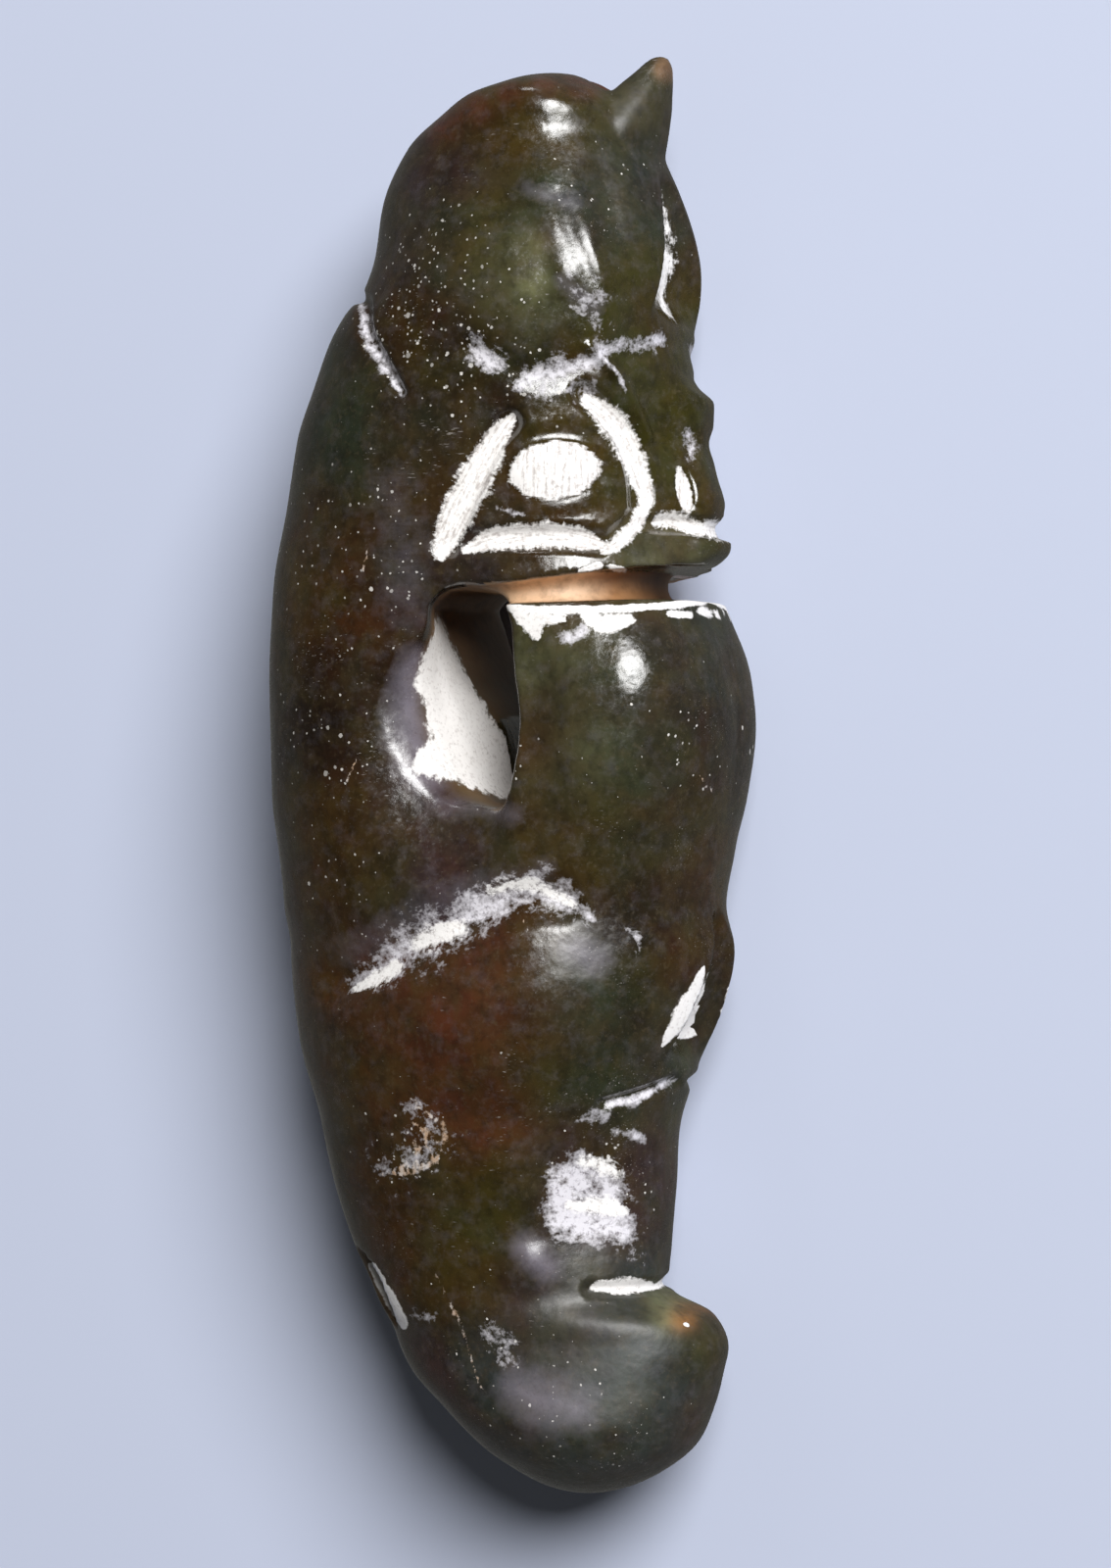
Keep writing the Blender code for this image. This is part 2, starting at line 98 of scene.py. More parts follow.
# %% Sections of the blank, as shares of the length, depth and thickness
STATIONS = (
    # height, middle, half of the depth, half of the thickness, squareness
    (0.000, 0.168, 0.000, 0.000, 2.0),
    (0.016, 0.172, 0.150, 0.205, 2.0),
    (0.034, 0.168, 0.220, 0.290, 2.1),
    (0.058, 0.150, 0.272, 0.336, 2.2),
    (0.084, 0.123, 0.322, 0.333, 2.2),
    (0.108, 0.111, 0.345, 0.324, 2.2),
    (0.125, 0.083, 0.341, 0.335, 2.3),
    (0.140, 0.028, 0.306, 0.335, 2.3),
    (0.173, 0.005, 0.328, 0.352, 2.3),
    (0.215, -0.010, 0.353, 0.385, 2.3),
    (0.257, -0.020, 0.368, 0.420, 2.3),
    (0.296, -0.018, 0.403, 0.452, 2.3),
    (0.337, -0.004, 0.443, 0.466, 2.2),
    (0.378, 0.004, 0.461, 0.468, 2.2),
    (0.410, -0.012, 0.454, 0.470, 2.4),
    (0.446, -0.008, 0.466, 0.480, 2.5),
    (0.487, -0.006, 0.480, 0.490, 2.6),
    (0.528, -0.003, 0.480, 0.494, 2.8),
    (0.569, -0.009, 0.474, 0.494, 2.9),
    (0.610, -0.022, 0.458, 0.490, 2.8),
    (0.651, -0.036, 0.440, 0.486, 2.5),
    (0.691, -0.036, 0.418, 0.484, 2.4),
    (0.732, -0.034, 0.400, 0.480, 2.4),
    (0.773, -0.012, 0.382, 0.466, 2.4),
    (0.801, 0.005, 0.368, 0.460, 2.4),
    (0.821, 0.023, 0.355, 0.456, 2.3),
    (0.836, 0.044, 0.335, 0.454, 2.3),
    (0.862, 0.055, 0.322, 0.440, 2.2),
    (0.903, 0.049, 0.296, 0.394, 2.3),
    (0.937, 0.053, 0.250, 0.358, 2.3),
    (0.960, 0.080, 0.190, 0.349, 2.4),
    (0.970, 0.086, 0.154, 0.333, 2.3),
    (0.979, 0.102, 0.100, 0.268, 2.0),
    (0.988, 0.118, 0.000, 0.000, 2.0),
)
NOSE_HALF_WIDTH = 3.1 * MM
NOSE_FADE = (0.40, 1.40)
NOSE_PROFILE = (
    # height as a share of the length, rise in mm
    (0.642, 0.0),
    (0.650, 1.7),
    (0.659, 2.2),
    (0.676, 1.9),
    (0.688, 2.3),
    (0.706, 2.0),
    (0.728, 1.8),
    (0.742, 2.1),
    (0.757, 2.1),
    (0.768, 0.8),
    (0.779, 0.0),
)
print(len(STATIONS), "sections of the blank, and", len(NOSE_PROFILE), "of the nose")

# %% [markdown]
# ### Between the sections
#
# Straight lines from section to section would show as rings on a polished stone. A curve that
# never overshoots its points keeps the outline calm. Each section is a superellipse: a squareness
# of 2 gives an ellipse, and a larger one a fuller shape, as sawn pebbles have.

# %% Curves through the sections
def smooth_step(low, high, value):
    """0 below low, 1 above high, and an S between them."""
    share = np.clip((value - low) / (high - low), 0.0, 1.0)
    return share * share * (3 - 2 * share)


def through(heights, values, at):
    """A smooth curve through the values that never overshoots them."""
    heights = np.array(heights, float)
    values = np.array(values, float)
    rise = np.diff(values) / np.diff(heights)
    before, after = rise[:-1], rise[1:]
    tangent = np.concatenate(([rise[0]], np.zeros(len(before)), [rise[-1]]))
    steady = before * after > 0
    tangent[1:-1][steady] = (2 * before * after / (before + after + 1e-30))[steady]
    span = np.clip(np.searchsorted(heights, at) - 1, 0, len(rise) - 1)
    step = np.diff(heights)[span]
    t = np.clip((at - heights[span]) / step, 0.0, 1.0)
    return (
        (1 + 2 * t) * (1 - t) ** 2 * values[span]
        + t * (1 - t) ** 2 * step * tangent[span]
        + t * t * (3 - 2 * t) * values[span + 1]
        + t * t * (t - 1) * step * tangent[span + 1]
    )


def section(at):
    """The section at each height: its middle, half depth, half thickness and squareness."""
    columns = list(zip(*STATIONS))
    middle = through(columns[0], columns[1], at) * DEPTH
    half_depth = np.sqrt(through(columns[0], np.square(columns[2]), at).clip(0)) * DEPTH
    half_thickness = np.sqrt(through(columns[0], np.square(columns[3]), at).clip(0)) * THICKNESS
    return middle, half_depth, half_thickness, through(columns[0], columns[4], at)


def around(at, turn):
    """Places on the outline of the sections: heights as shares, and turns around them."""
    middle, half_depth, half_thickness, square = section(at)
    across = np.sign(np.cos(turn)) * np.abs(np.cos(turn)) ** (2 / square)
    out = np.sign(np.sin(turn)) * np.abs(np.sin(turn)) ** (2 / square)
    return middle + half_depth * across, half_thickness * out


middle, half_depth, half_thickness, square = section(np.array([0.5]))
print("half way up, the blank is", round(2 * half_depth[0] / MM, 1), "mm deep")

# %% [markdown]
# ### Moving many points at once
#
# A loop in Python over 200,000 points is slow. NumPy arrays are read from a mesh and written back
# in one call each, and all of the carving below is arithmetic on such arrays.

# %% Reading and moving the points of a mesh
def points_of(mesh):
    points = np.empty(len(mesh.vertices) * 3, np.float32)
    mesh.vertices.foreach_get("co", points)
    return points.reshape(-1, 3).astype(float)


def normals_of(mesh):
    normals = np.empty(len(mesh.vertices) * 3, np.float32)
    mesh.vertex_normals.foreach_get("vector", normals)
    return normals.reshape(-1, 3).astype(float)


def put_points(mesh, points):
    mesh.vertices.foreach_set("co", points.astype(np.float32).ravel())
    mesh.update()


def object_from(name, shape):
    """A new object with the bmesh's shape."""
    mesh = bpy.data.meshes.new(name)
    shape.to_mesh(mesh)
    shape.free()
    made = bpy.data.objects.new(name, mesh)
    bpy.context.scene.collection.objects.link(made)
    return made


def settled(piece):
    """Makes the piece's modifiers part of its mesh."""
    graph = bpy.context.evaluated_depsgraph_get()
    mesh = bpy.data.meshes.new_from_object(piece.evaluated_get(graph))
    piece.modifiers.clear()
    old = piece.data
    piece.data = mesh
    bpy.data.meshes.remove(old)


# %% [markdown]
# ## The drawing
#
# Marks on the flanks are easiest to set out on a drawing of the stone, seen a little from the
# front, where the eye, the snout and the haunch all show. The drawing is in millimetres, x from
# the line over the toes and y up from the foot. A point of the stone finds its place on it by a
# turn and a slight widening of what is nearer. Both flanks use the same drawing, because the
# height over the middle plane is taken without its sign.

# %% Where a point of the stone lies on the drawing
SIGHT_TURN = math.radians(20)
SIGHT_DISTANCE = 350.0
SIGHT_MIDDLE = (3.2, 49.35)


def on_drawing(points):
    x, y, z = (points / MM).T
    across = math.cos(SIGHT_TURN) * x - math.sin(SIGHT_TURN) * np.abs(z)
    nearer = math.sin(SIGHT_TURN) * x + math.cos(SIGHT_TURN) * np.abs(z)
    widening = SIGHT_DISTANCE / (SIGHT_DISTANCE - nearer)
    wide = SIGHT_MIDDLE[0] + (across - SIGHT_MIDDLE[0]) * widening
    high = SIGHT_MIDDLE[1] + (y - SIGHT_MIDDLE[1]) * widening
    return np.stack((wide, high), axis=1)


def bent(route, steps=6):
    """The route as a smooth bend with steps pieces between each two points."""
    points = [Vector(p) for p in route]
    ends = [points[0] * 2 - points[1], *points, points[-1] * 2 - points[-2]]
    made = []
    for a, b, c, d in zip(ends, ends[1:], ends[2:], ends[3:]):
        slope = c - a
        pull = 2 * a - 5 * b + 4 * c - d
        twist = 3 * b - a - 3 * c + d
        for k in range(steps):
            t = k / steps
            made.append(b + 0.5 * (slope * t + pull * t**2 + twist * t**3))
    return np.array([*made, points[-1]])


def distance_to(route, places):
    """Distance of each place from a route on the plane, through its bent points."""
    nearest = np.full(len(places), np.inf)
    for start, end in zip(route, route[1:]):
        along = end - start
        share = np.clip((places - start) @ along / (along @ along), 0.0, 1.0)
        gap = places - start - share[:, None] * along
        nearest = np.minimum(nearest, np.hypot(gap[:, 0], gap[:, 1]))
    return nearest


def from_oval(places, oval):
    """0 at the middle of an oval, 1 on its edge: middle, half width, half height and tilt."""
    (x, y), half_width, half_height, tilt = oval
    turn = math.radians(tilt)
    offset = places - (x, y)
    wide = offset[:, 0] * math.cos(turn) + offset[:, 1] * math.sin(turn)
    high = offset[:, 1] * math.cos(turn) - offset[:, 0] * math.sin(turn)
    return np.hypot(wide / half_width, high / half_height)


lip = on_drawing(np.array([[DEPTH / 2, 0.67 * LENGTH, 0.0]]))[0]
print("the lip lies at", [round(side, 1) for side in lip], "mm on the drawing")

# %% [markdown]
# ## Swellings and hollows of the blank
#
# A pebble carver keeps the mass soft: the ear is a dome, the chest and the haunch swell, and the
# flank sinks towards the eye of the coil. Each is a soft oval push along the surface's normals.

# %% Rough out the blank
SWELLINGS = (
    # an oval on the drawing: middle, half width, half height and tilt, and the push in mm
    (((2.6, 85.6), 8.2, 10.5, -15), 0.65),
    (((-3.5, 86.0), 5.0, 6.5, 0), 0.4),
    (((7.2, 84.8), 4.8, 8.5, -18), 0.50),
    (((9.4, 53.8), 8.6, 9.6, 0), 0.9),
    (((9.6, 57.4), 3.6, 4.6, 0), 0.3),
    (((-0.8, 33.6), 8.4, 8.4, 0), 0.9),
    (((1.0, 15.5), 2.3, 2.3, 0), 0.50),
)
HOLLOWS = (
    (((5.6, 20.6), 4.7, 6.5, 0), 1.0),
    (((1.2, 53.5), 3.4, 8.5, 0), 0.8),
)
# The hollow that leads to the coil's eye, only on the side of the back
FUNNEL_HOLLOW = (((-3.2, 53.6), 8.6, 12.5, 0), 2.8)
FUNNEL_SIDE = (-2.0, 0.5)
BLANK_RINGS = 300
BLANK_SEGMENTS = 200

ball = bmesh.new()
bmesh.ops.create_uvsphere(ball, u_segments=BLANK_SEGMENTS, v_segments=BLANK_RINGS, radius=1)
stone = object_from("jade_pig_dragon", ball)
points = points_of(stone.data)
at = (1 + points[:, 2]) / 2 * STATIONS[-1][0]
across, out = around(at, np.arctan2(points[:, 1], points[:, 0]))
points = np.stack((across, at * LENGTH, -out), axis=1)

nose_heights, nose_rises = zip(*NOSE_PROFILE)
rise = through(nose_heights, nose_rises, at) * MM
rise *= (at > nose_heights[0]) & (at < nose_heights[-1])
rise *= 1 - smooth_step(*NOSE_FADE, np.abs(points[:, 2]) / NOSE_HALF_WIDTH)
points[:, 0] += rise * smooth_step(0.0, 0.2, points[:, 0] / DEPTH)
put_points(stone.data, points)

swell = np.zeros(len(points))
for oval, height in SWELLINGS:
    swell += height * MM * np.clip(1 - from_oval(on_drawing(points), oval) ** 2, 0, 1) ** 1.5
for oval, depth in HOLLOWS:
    swell -= depth * MM * np.clip(1 - from_oval(on_drawing(points), oval) ** 2, 0, 1) ** 1.5
oval, depth = FUNNEL_HOLLOW
places = on_drawing(points)
left_of_eye = 1 - smooth_step(*FUNNEL_SIDE, places[:, 0])
swell -= depth * MM * np.clip(1 - from_oval(places, oval) ** 2, 0, 1) ** 1.5 * left_of_eye
put_points(stone.data, points + normals_of(stone.data) * swell[:, None])
print("the blank has", len(stone.data.vertices), "points")

# %% [markdown]
# ## The horn
#
# The horn is a short spike that rises from the middle of the brow, a little bent and worn round
# at its tip. Rings are set one over the other and bridged into a closed body, which can bend and
# thin as it likes. Its foot melts into the head in the remesh.

# %% The horn, as rings in mm: height, middle, half depth and half thickness
HORN_RINGS = (
    (88.0, 5.6, 4.2, 6.4),
    (90.5, 6.5, 3.8, 5.9),
    (93.0, 7.5, 3.4, 5.2),
    (95.0, 8.50, 2.85, 4.4),
    (96.4, 9.30, 2.35, 3.5),
    (97.2, 9.75, 2.00, 2.8),
    (98.0, 10.25, 1.65, 2.1),
    (98.7, 10.70, 1.25, 1.5),
    (99.25, 10.95, 0.95, 1.05),
    (99.6, 11.10, 0.65, 0.70),
    (99.8, 11.15, 0.3, 0.3),
)
HORN_SEGMENTS = 36
HORN_POWER = 0.85


def bridged(name, rings):
    """A closed tube through the rings of points."""
    shape = bmesh.new()
    last = None
    for ring in rings:
        made = bmesh.ops.create_circle(shape, segments=len(ring), radius=1)["verts"]
        for vert, place in zip(made, ring):
            vert.co = place
        edges = {edge for vert in made for edge in vert.link_edges if edge.is_wire}
        if last:
            bmesh.ops.bridge_loops(shape, edges=[*last, *edges])
        last = edges
    bmesh.ops.holes_fill(shape, edges=shape.edges)
    bmesh.ops.recalc_face_normals(shape, faces=shape.faces)
    return object_from(name, shape)


def fuller(share):
    """A sine or cosine that makes a ring a little squarer than round."""
    return math.copysign(abs(share) ** HORN_POWER, share)


horn_rings = []
for height, middle, half_depth, half_thickness in HORN_RINGS:
    bends = [math.radians(360 / HORN_SEGMENTS * k) for k in range(HORN_SEGMENTS)]
    horn_rings.append([
        (
            (middle + half_depth * fuller(math.cos(t))) * MM,
            height * MM,
            half_thickness * fuller(math.sin(t)) * MM,
        )
        for t in bends
    ])
horn = bridged("horn", horn_rings)
print("the horn is", round(HORN_RINGS[-1][0] - HORN_RINGS[0][0], 1), "mm high")

# %% [markdown]
# ## The eye of the coil
#
# The hole was drilled from both flanks until the two bits met, so it is narrowest in the middle
# of the stone, where it leaves a ridge, and its outline drifts from one flank to the other. Rings
# bridged into a tube follow that drift, which a plain cylinder could not.

# %% A cutter for the coil's eye
EYE_MIDDLE = (
    (-0.56, 0.43), (-0.42, 0.275), (-0.33, 0.175), (-0.24, 0.07), (-0.10, -0.02), (0.01, -0.10),
    (0.07, -0.19), (0.11, -0.31), (0.15, -0.40), (0.27, -0.46), (0.40, -0.40), (0.48, -0.16),
    (0.48, 0.12), (0.44, 0.34), (0.30, 0.45), (-0.10, 0.49), (-0.42, 0.50),
)
EYE_FLANK = (
    (-0.10, 0.41), (-0.15, 0.32), (-0.22, 0.21), (-0.28, 0.10), (-0.32, -0.02), (-0.33, -0.12),
    (-0.29, -0.22), (-0.18, -0.32), (0.02, -0.42), (0.44, -0.51), (0.565, -0.40), (0.655, -0.12),
    (0.60, 0.12), (0.575, 0.34), (0.44, 0.47), (0.22, 0.50), (0.03, 0.475),
)
# How far the funnel has opened, in mm, at levels from the middle of the stone to past its flank
EYE_FUNNEL = (
    (0.00, 0.0), (0.50, 0.1), (0.66, 0.4), (0.76, 0.8), (0.84, 1.5), (0.92, 2.6), (1.00, 4.2),
    (1.20, 8.0), (1.50, 12.0),
)
# The funnel opens towards the back and the foot, and hardly at all on the other side
EYE_OPEN_WAY = (-0.8, -0.6)
EYE_OPEN_LEAST = 0.06
EYE_FAR_FUNNEL = 0.3
EYE_FAR_DRIFT = 0.08
EYE_LEVELS = (-1.5, -1.2, -1.0, -0.9, -0.8, -0.7, -0.6, -0.4, -0.2)
EYE_LEVELS = (*EYE_LEVELS, 0.0, *(-level for level in reversed(EYE_LEVELS)))


def eye_ring(level):
    """The eye's outline at a level from 0 in the middle of the stone to 1 at a flank."""
    share = min(abs(level), 1.0)
    if level > 0:
        mixed = [Vector(a).lerp(Vector(b), share) for a, b in zip(EYE_MIDDLE, EYE_FLANK)]
    else:
        mixed = [Vector(a) + Vector((EYE_FAR_DRIFT * share, 0)) for a in EYE_MIDDLE]
    ring = bent([*mixed, mixed[0]], 4)[:-1]
    out = ring - ring.mean(axis=0)
    out /= np.linalg.norm(out, axis=1)[:, None]
    open_sides = smooth_step(0.1, 0.85, out @ EYE_OPEN_WAY)
    opened = np.interp(abs(level), *zip(*EYE_FUNNEL)) * MM
    opened = opened * (EYE_OPEN_LEAST + (1 - EYE_OPEN_LEAST) * open_sides)
    if level < 0:
        opened *= EYE_FAR_FUNNEL
    middle = (EYE_PLACE[0] * DEPTH, EYE_PLACE[1] * LENGTH)
    ring = middle + ring * (EYE_WIDTH, EYE_HEIGHT) + out * opened[:, None]
    return [(x, y, level * THICKNESS / 2) for x, y in ring]


coil_eye = bridged("coil_eye_cutter", [eye_ring(level) for level in EYE_LEVELS])
print("the coil's eye is cut by a tube of", len(coil_eye.data.polygons), "faces")

# %% [markdown]
# ## The saw cut
#
# The jaw was parted from the body with a string and wet sand, drawn around the front. Such a cut
# has an even depth, follows the stone's outline and ends in a rounded floor. One profile is
# carried around the outline and bridged to the next.

# %% A cutter for the saw cut
# The cut deepens between these shares of the way from the eye to the mouth
CUT_DEEPENS = (0.35, 0.85)
cut_start = (CUT_START[0] * DEPTH, CUT_START[1] * LENGTH)
cut_mouth = (CUT_MOUTH[0] * DEPTH, CUT_MOUTH[1] * LENGTH)


def cut_height(x):
    """Height of the middle of the saw cut, and half its width, at each x."""
    share = (x - cut_start[0]) / (cut_mouth[0] - cut_start[0])
    half = (CUT_AT_EYE + share * (CUT_AT_MOUTH - CUT_AT_EYE)) / 2
    return cut_start[1] + share * (cut_mouth[1] - cut_start[1]), half


turn = np.linspace(-math.pi, math.pi, 181)
across, out = around(np.full(len(turn), CUT_START[1]), turn)
outward = np.stack((np.gradient(out), -np.gradient(across)), axis=1)
outward /= np.linalg.norm(outward, axis=1)[:, None]
saw_profiles = []
for x, z, way in zip(across, out, outward):
    if x < cut_start[0]:
        continue
    height, half = cut_height(x)
    forward = smooth_step(*CUT_DEEPENS, (x - cut_start[0]) / (cut_mouth[0] - cut_start[0]))
    floor = CUT_DEPTH_AT_EYE + forward * (CUT_DEPTH - CUT_DEPTH_AT_EYE) - CUT_FLOOR_RADIUS
    profile = [(CUT_DEPTH, half), (CUT_DEPTH, -half)]
    for k in range(-4, 5):
        bend = math.radians(22.5 * k)
        profile.append((-floor - CUT_FLOOR_RADIUS * math.cos(bend), half * math.sin(bend)))
    saw_profiles.append([(x + gap * way[0], height + up, z + gap * way[1]) for gap, up in profile])
saw_cut = bridged("saw_cutter", saw_profiles)
print("the saw cut is", round(CUT_DEPTH / MM, 1), "mm deep all the way around the front")

# %% [markdown]
# ## The cord hole
#
# Two short holes were drilled slantwise into the back until they met, so that a cord can pass
# behind the animal. Part of an oval ring makes the same bent passage in one spin.

# %% A cutter for the cord hole
cord_ring = bmesh.new()
bmesh.ops.create_circle(cord_ring, segments=28, radius=0.5)
bmesh.ops.scale(cord_ring, verts=cord_ring.verts, vec=(CORD_HOLE_WIDTH, CORD_HOLE_HEIGHT, 1))
bmesh.ops.translate(cord_ring, verts=cord_ring.verts, vec=(CORD_HOLE_BEND, 0, 0))
bmesh.ops.spin(
    cord_ring,
    geom=cord_ring.verts[:] + cord_ring.edges[:],
    cent=(0, 0, 0),
    axis=(0, 1, 0),
    angle=2 * math.pi,
    steps=64,
    use_merge=True,
)
bmesh.ops.remove_doubles(cord_ring, verts=cord_ring.verts, dist=1e-7)
bmesh.ops.recalc_face_normals(cord_ring, faces=cord_ring.faces)
cord_hole_middle = (CORD_HOLE_PLACE[0] * DEPTH, CORD_HOLE_PLACE[1] * LENGTH, 0)
bmesh.ops.translate(cord_ring, verts=cord_ring.verts, vec=cord_hole_middle)
cord_hole = object_from("cord_hole_cutter", cord_ring)
print("the cord hole is", round(CORD_HOLE_WIDTH / MM, 1), "mm wide")

# %% [markdown]
# ## One skin over it all
#
# Booleans join the horn and cut the holes, and leave uneven slivers behind. A voxel remesh grows
# one even skin over the result. Its voxel is the finest that keeps the piece light enough, and a
# little smoothing then takes off the voxel steps, as polishing does.

# %% Join, cut and polish
SKIN = 0.27 * MM
for other, operation in ((horn, "UNION"), (coil_eye, "DIFFERENCE"), (saw_cut, "DIFFERENCE"),
                         (cord_hole, "DIFFERENCE")):
    step = stone.modifiers.new(other.name, "BOOLEAN")
    step.object = other
    step.operation = operation
    step.solver = "EXACT"
skin = stone.modifiers.new("skin", "REMESH")
skin.mode = "VOXEL"
skin.voxel_size = SKIN
polish = stone.modifiers.new("polish", "SMOOTH")
polish.factor = 0.5
polish.iterations = 6
settled(stone)
for cutter in (horn, coil_eye, saw_cut, cord_hole):
    bpy.data.objects.remove(cutter)
print("the skin has", len(stone.data.polygons), "faces")

# %% [markdown]
# ## The carved lines
#
# Each line is a valley along a route on the drawing. Instead of a tool that follows the route,
# every point of the skin asks how far it is from the route, and sinks along its normal by a soft
# profile of that distance. The same lines fall on both flanks.

# %% Lines of the carving: route, width and depth in mm, share of the width with a flat floor
EAR_VALLEY = ((6.4, 92.4), (7.2, 89.2), (8.4, 84.6), (8.8, 81.6))
EAR_PLEAT = ((3.4, 90.6), (4.5, 87.6), (5.8, 84.6))
BROW = ((-2.9, 79.9), (0.0, 78.6), (2.7, 78.0), (5.8, 79.0), (8.9, 79.9), (12.3, 80.3))
CHEEK = ((0.0, 74.7), (-1.4, 73.0), (-2.5, 70.8), (-3.4, 68.9), (-4.4, 66.0))
MOUTH = ((-3.1, 66.3), (-1.4, 66.5), (1.1, 66.6), (3.8, 66.6), (6.3, 66.4))
SNOUT_SIDE = ((5.2, 76.8), (6.4, 75.8), (7.9, 74.2), (8.7, 72.4), (9.2, 70.5), (9.3, 69.0))
SNOUT_CORNER = ((9.3, 69.0), (8.2, 67.6), (6.7, 66.3))
UNDER_NOSE = ((9.3, 67.7), (12.3, 67.5), (15.6, 67.1))
HAUNCH = ((-11.9, 35.5), (-8.2, 37.2), (-4.8, 39.0), (-1.4, 40.6), (1.6, 41.4), (3.4, 41.3))
SHIN_CREASE = ((6.6, 26.9), (9.2, 27.6), (11.6, 28.5))
ANKLE_CREASE = ((5.6, 13.9), (9.2, 14.0), (12.8, 14.7))
NAPE_CREASE = ((-10.3, 83.3), (-10.1, 81.1), (-9.0, 79.0), (-7.8, 76.9))
LINES = (
    (EAR_VALLEY, 4.2, 0.35, 0.0),
    (EAR_PLEAT, 1.8, 0.10, 0.0),
    (BROW, 3.0, 0.30, 0.0),
    (CHEEK, 2.5, 0.80, 0.3),
    (MOUTH, 2.3, 0.80, 0.3),
    (SNOUT_SIDE, 2.5, 0.80, 0.2),
    (SNOUT_CORNER, 1.8, 0.60, 0.1),
    (UNDER_NOSE, 1.8, 0.75, 0.3),
    (HAUNCH, 4.8, 0.75, 0.0),
    (SHIN_CREASE, 1.4, 0.50, 0.0),
    (ANKLE_CREASE, 1.6, 0.60, 0.0),
    (NAPE_CREASE, 1.6, 0.60, 0.0),
)
# The pupil is an oval: middle, half width, half height and tilt. A ring runs around it, at a share
# of its size, and fades below the pupil's middle.
PUPIL = ((3.1, 71.35), 3.35, 2.1, 6)
PUPIL_RISE = 0.4
RING_AT = 1.22
RING_WIDTH = 2.0
RING_DEPTH = 0.20
RING_FADE = (-1.2, 0.4)
# Pockets pressed in beside the nose: oval and depth
POCKETS = (
    (((12.8, 73.2), 0.80, 1.9, 0), 0.40),
    (((12.3, 69.9), 0.75, 1.8, 10), 0.45),
)
# Ridges that rise: route, width and height
RIDGES = (
    (((5.6, 79.9), (6.7, 78.9), (7.7, 77.8), (8.5, 76.2), (9.6, 73.6)), 1.4, 0.40),
    (((2.0, 91.4), (2.8, 88.8), (3.9, 85.2)), 3.0, 0.12),
    (((4.4, 89.4), (5.6, 87.0), (6.7, 84.6), (7.6, 82.4)), 4.2, 0.14),
    (((1.0, 69.2), (3.4, 69.0), (5.6, 69.6)), 2.4, 0.14),
)
print(len(LINES), "lines,", len(RIDGES), "ridges and", len(POCKETS), "pockets on each flank")

# %% [markdown]
# ### Grooves in the front and down the nape
#
# The ears and the knees are parted by grooves that open downwards, and a shallow one runs down the
# crest and the nape. They lie across the middle of the stone, which the drawing doesn't show well,
# so they are worked out from the height and the distance from the middle.

# %% Grooves: top and foot as shares of the length, half width and depth in mm
FRONT_GROOVES = (
    (0.920, 0.800, 5.4, 2.5),
    (0.410, 0.292, 4.5, 3.0),
)
# Down the nape from the horn: foot, half width and depth
NAPE_GROOVE = (0.850, 1.6, 1.0)


def front_groove(points, top, foot, half_width, depth):
    """How deep a groove that widens downwards cuts at each point, measured from the middle."""
    share = points[:, 1] / LENGTH
    spread = np.clip((top - share) / (top - foot), 0.0, 1.0)
    ends = smooth_step(0.0, 0.12, spread) * (1 - smooth_step(0.70, 1.0, spread))
    wide = half_width * MM * (0.05 + 0.95 * spread**0.6)
    across = np.clip(np.abs(points[:, 2]) / wide, 0.0, 1.0)
    return depth * MM * ends * spread**0.5 * (1 - across**2)


def nape_groove(points, normals):
    """How deep the groove down the middle of the crest and nape cuts at each point."""
    foot, half_width, depth = NAPE_GROOVE
    run_out = smooth_step(foot, foot + 0.02, points[:, 1] / LENGTH)
    behind_horn = 1 - smooth_step(0.18, 0.25, points[:, 0] / DEPTH)
    outside = smooth_step(0.1, 0.5, np.maximum(-normals[:, 0], normals[:, 1]))
    across = 1 - smooth_step(0.0, 1.0, np.abs(points[:, 2]) / (half_width * MM))
    return depth * MM * run_out * behind_horn * outside * across


# %% [markdown]
# ### Cutting
#
# Where two valleys meet, the deeper one counts, so that they don't dig a pit together. The pupil
# and the ridges rise again, the pockets beside the nose sink, and the grooves between the ears and
# between the knees are cut straight in from the front.

# %% Cut the lines
points = points_of(stone.data)
normals = normals_of(stone.data)
places = on_drawing(points)
cut = np.zeros(len(points))
for route, width, depth, flat in LINES:
    gap = distance_to(bent(route), places)
    cut = np.maximum(cut, depth * (1 - smooth_step(flat, 1.0, gap / (width / 2))))
from_pupil = from_oval(places, PUPIL)
from_ring = np.abs(from_pupil - RING_AT) * PUPIL[2]
ring = RING_DEPTH * smooth_step(*RING_FADE, places[:, 1] - PUPIL[0][1])
cut = np.maximum(cut, ring * (1 - smooth_step(0.0, 1.0, from_ring / (RING_WIDTH / 2))))
cut -= PUPIL_RISE * np.clip(1 - from_pupil**2, 0.0, 1.0)
for route, width, height in RIDGES:
    gap = distance_to(bent(route), places)
    cut -= height * (1 - smooth_step(0.0, 1.0, gap / (width / 2)))
for oval, depth in POCKETS:
    cut += depth * np.clip(1 - from_oval(places, oval) ** 2, 0, 1) ** 1.5
points -= normals * (cut * MM + nape_groove(points, normals))[:, None]
ahead = sum(front_groove(points, *groove) for groove in FRONT_GROOVES)
points[:, 0] -= ahead * smooth_step(0.3, 0.7, normals[:, 0])
put_points(stone.data, points)
print("the deepest line is cut", round(cut.max(), 2), "mm into the stone")
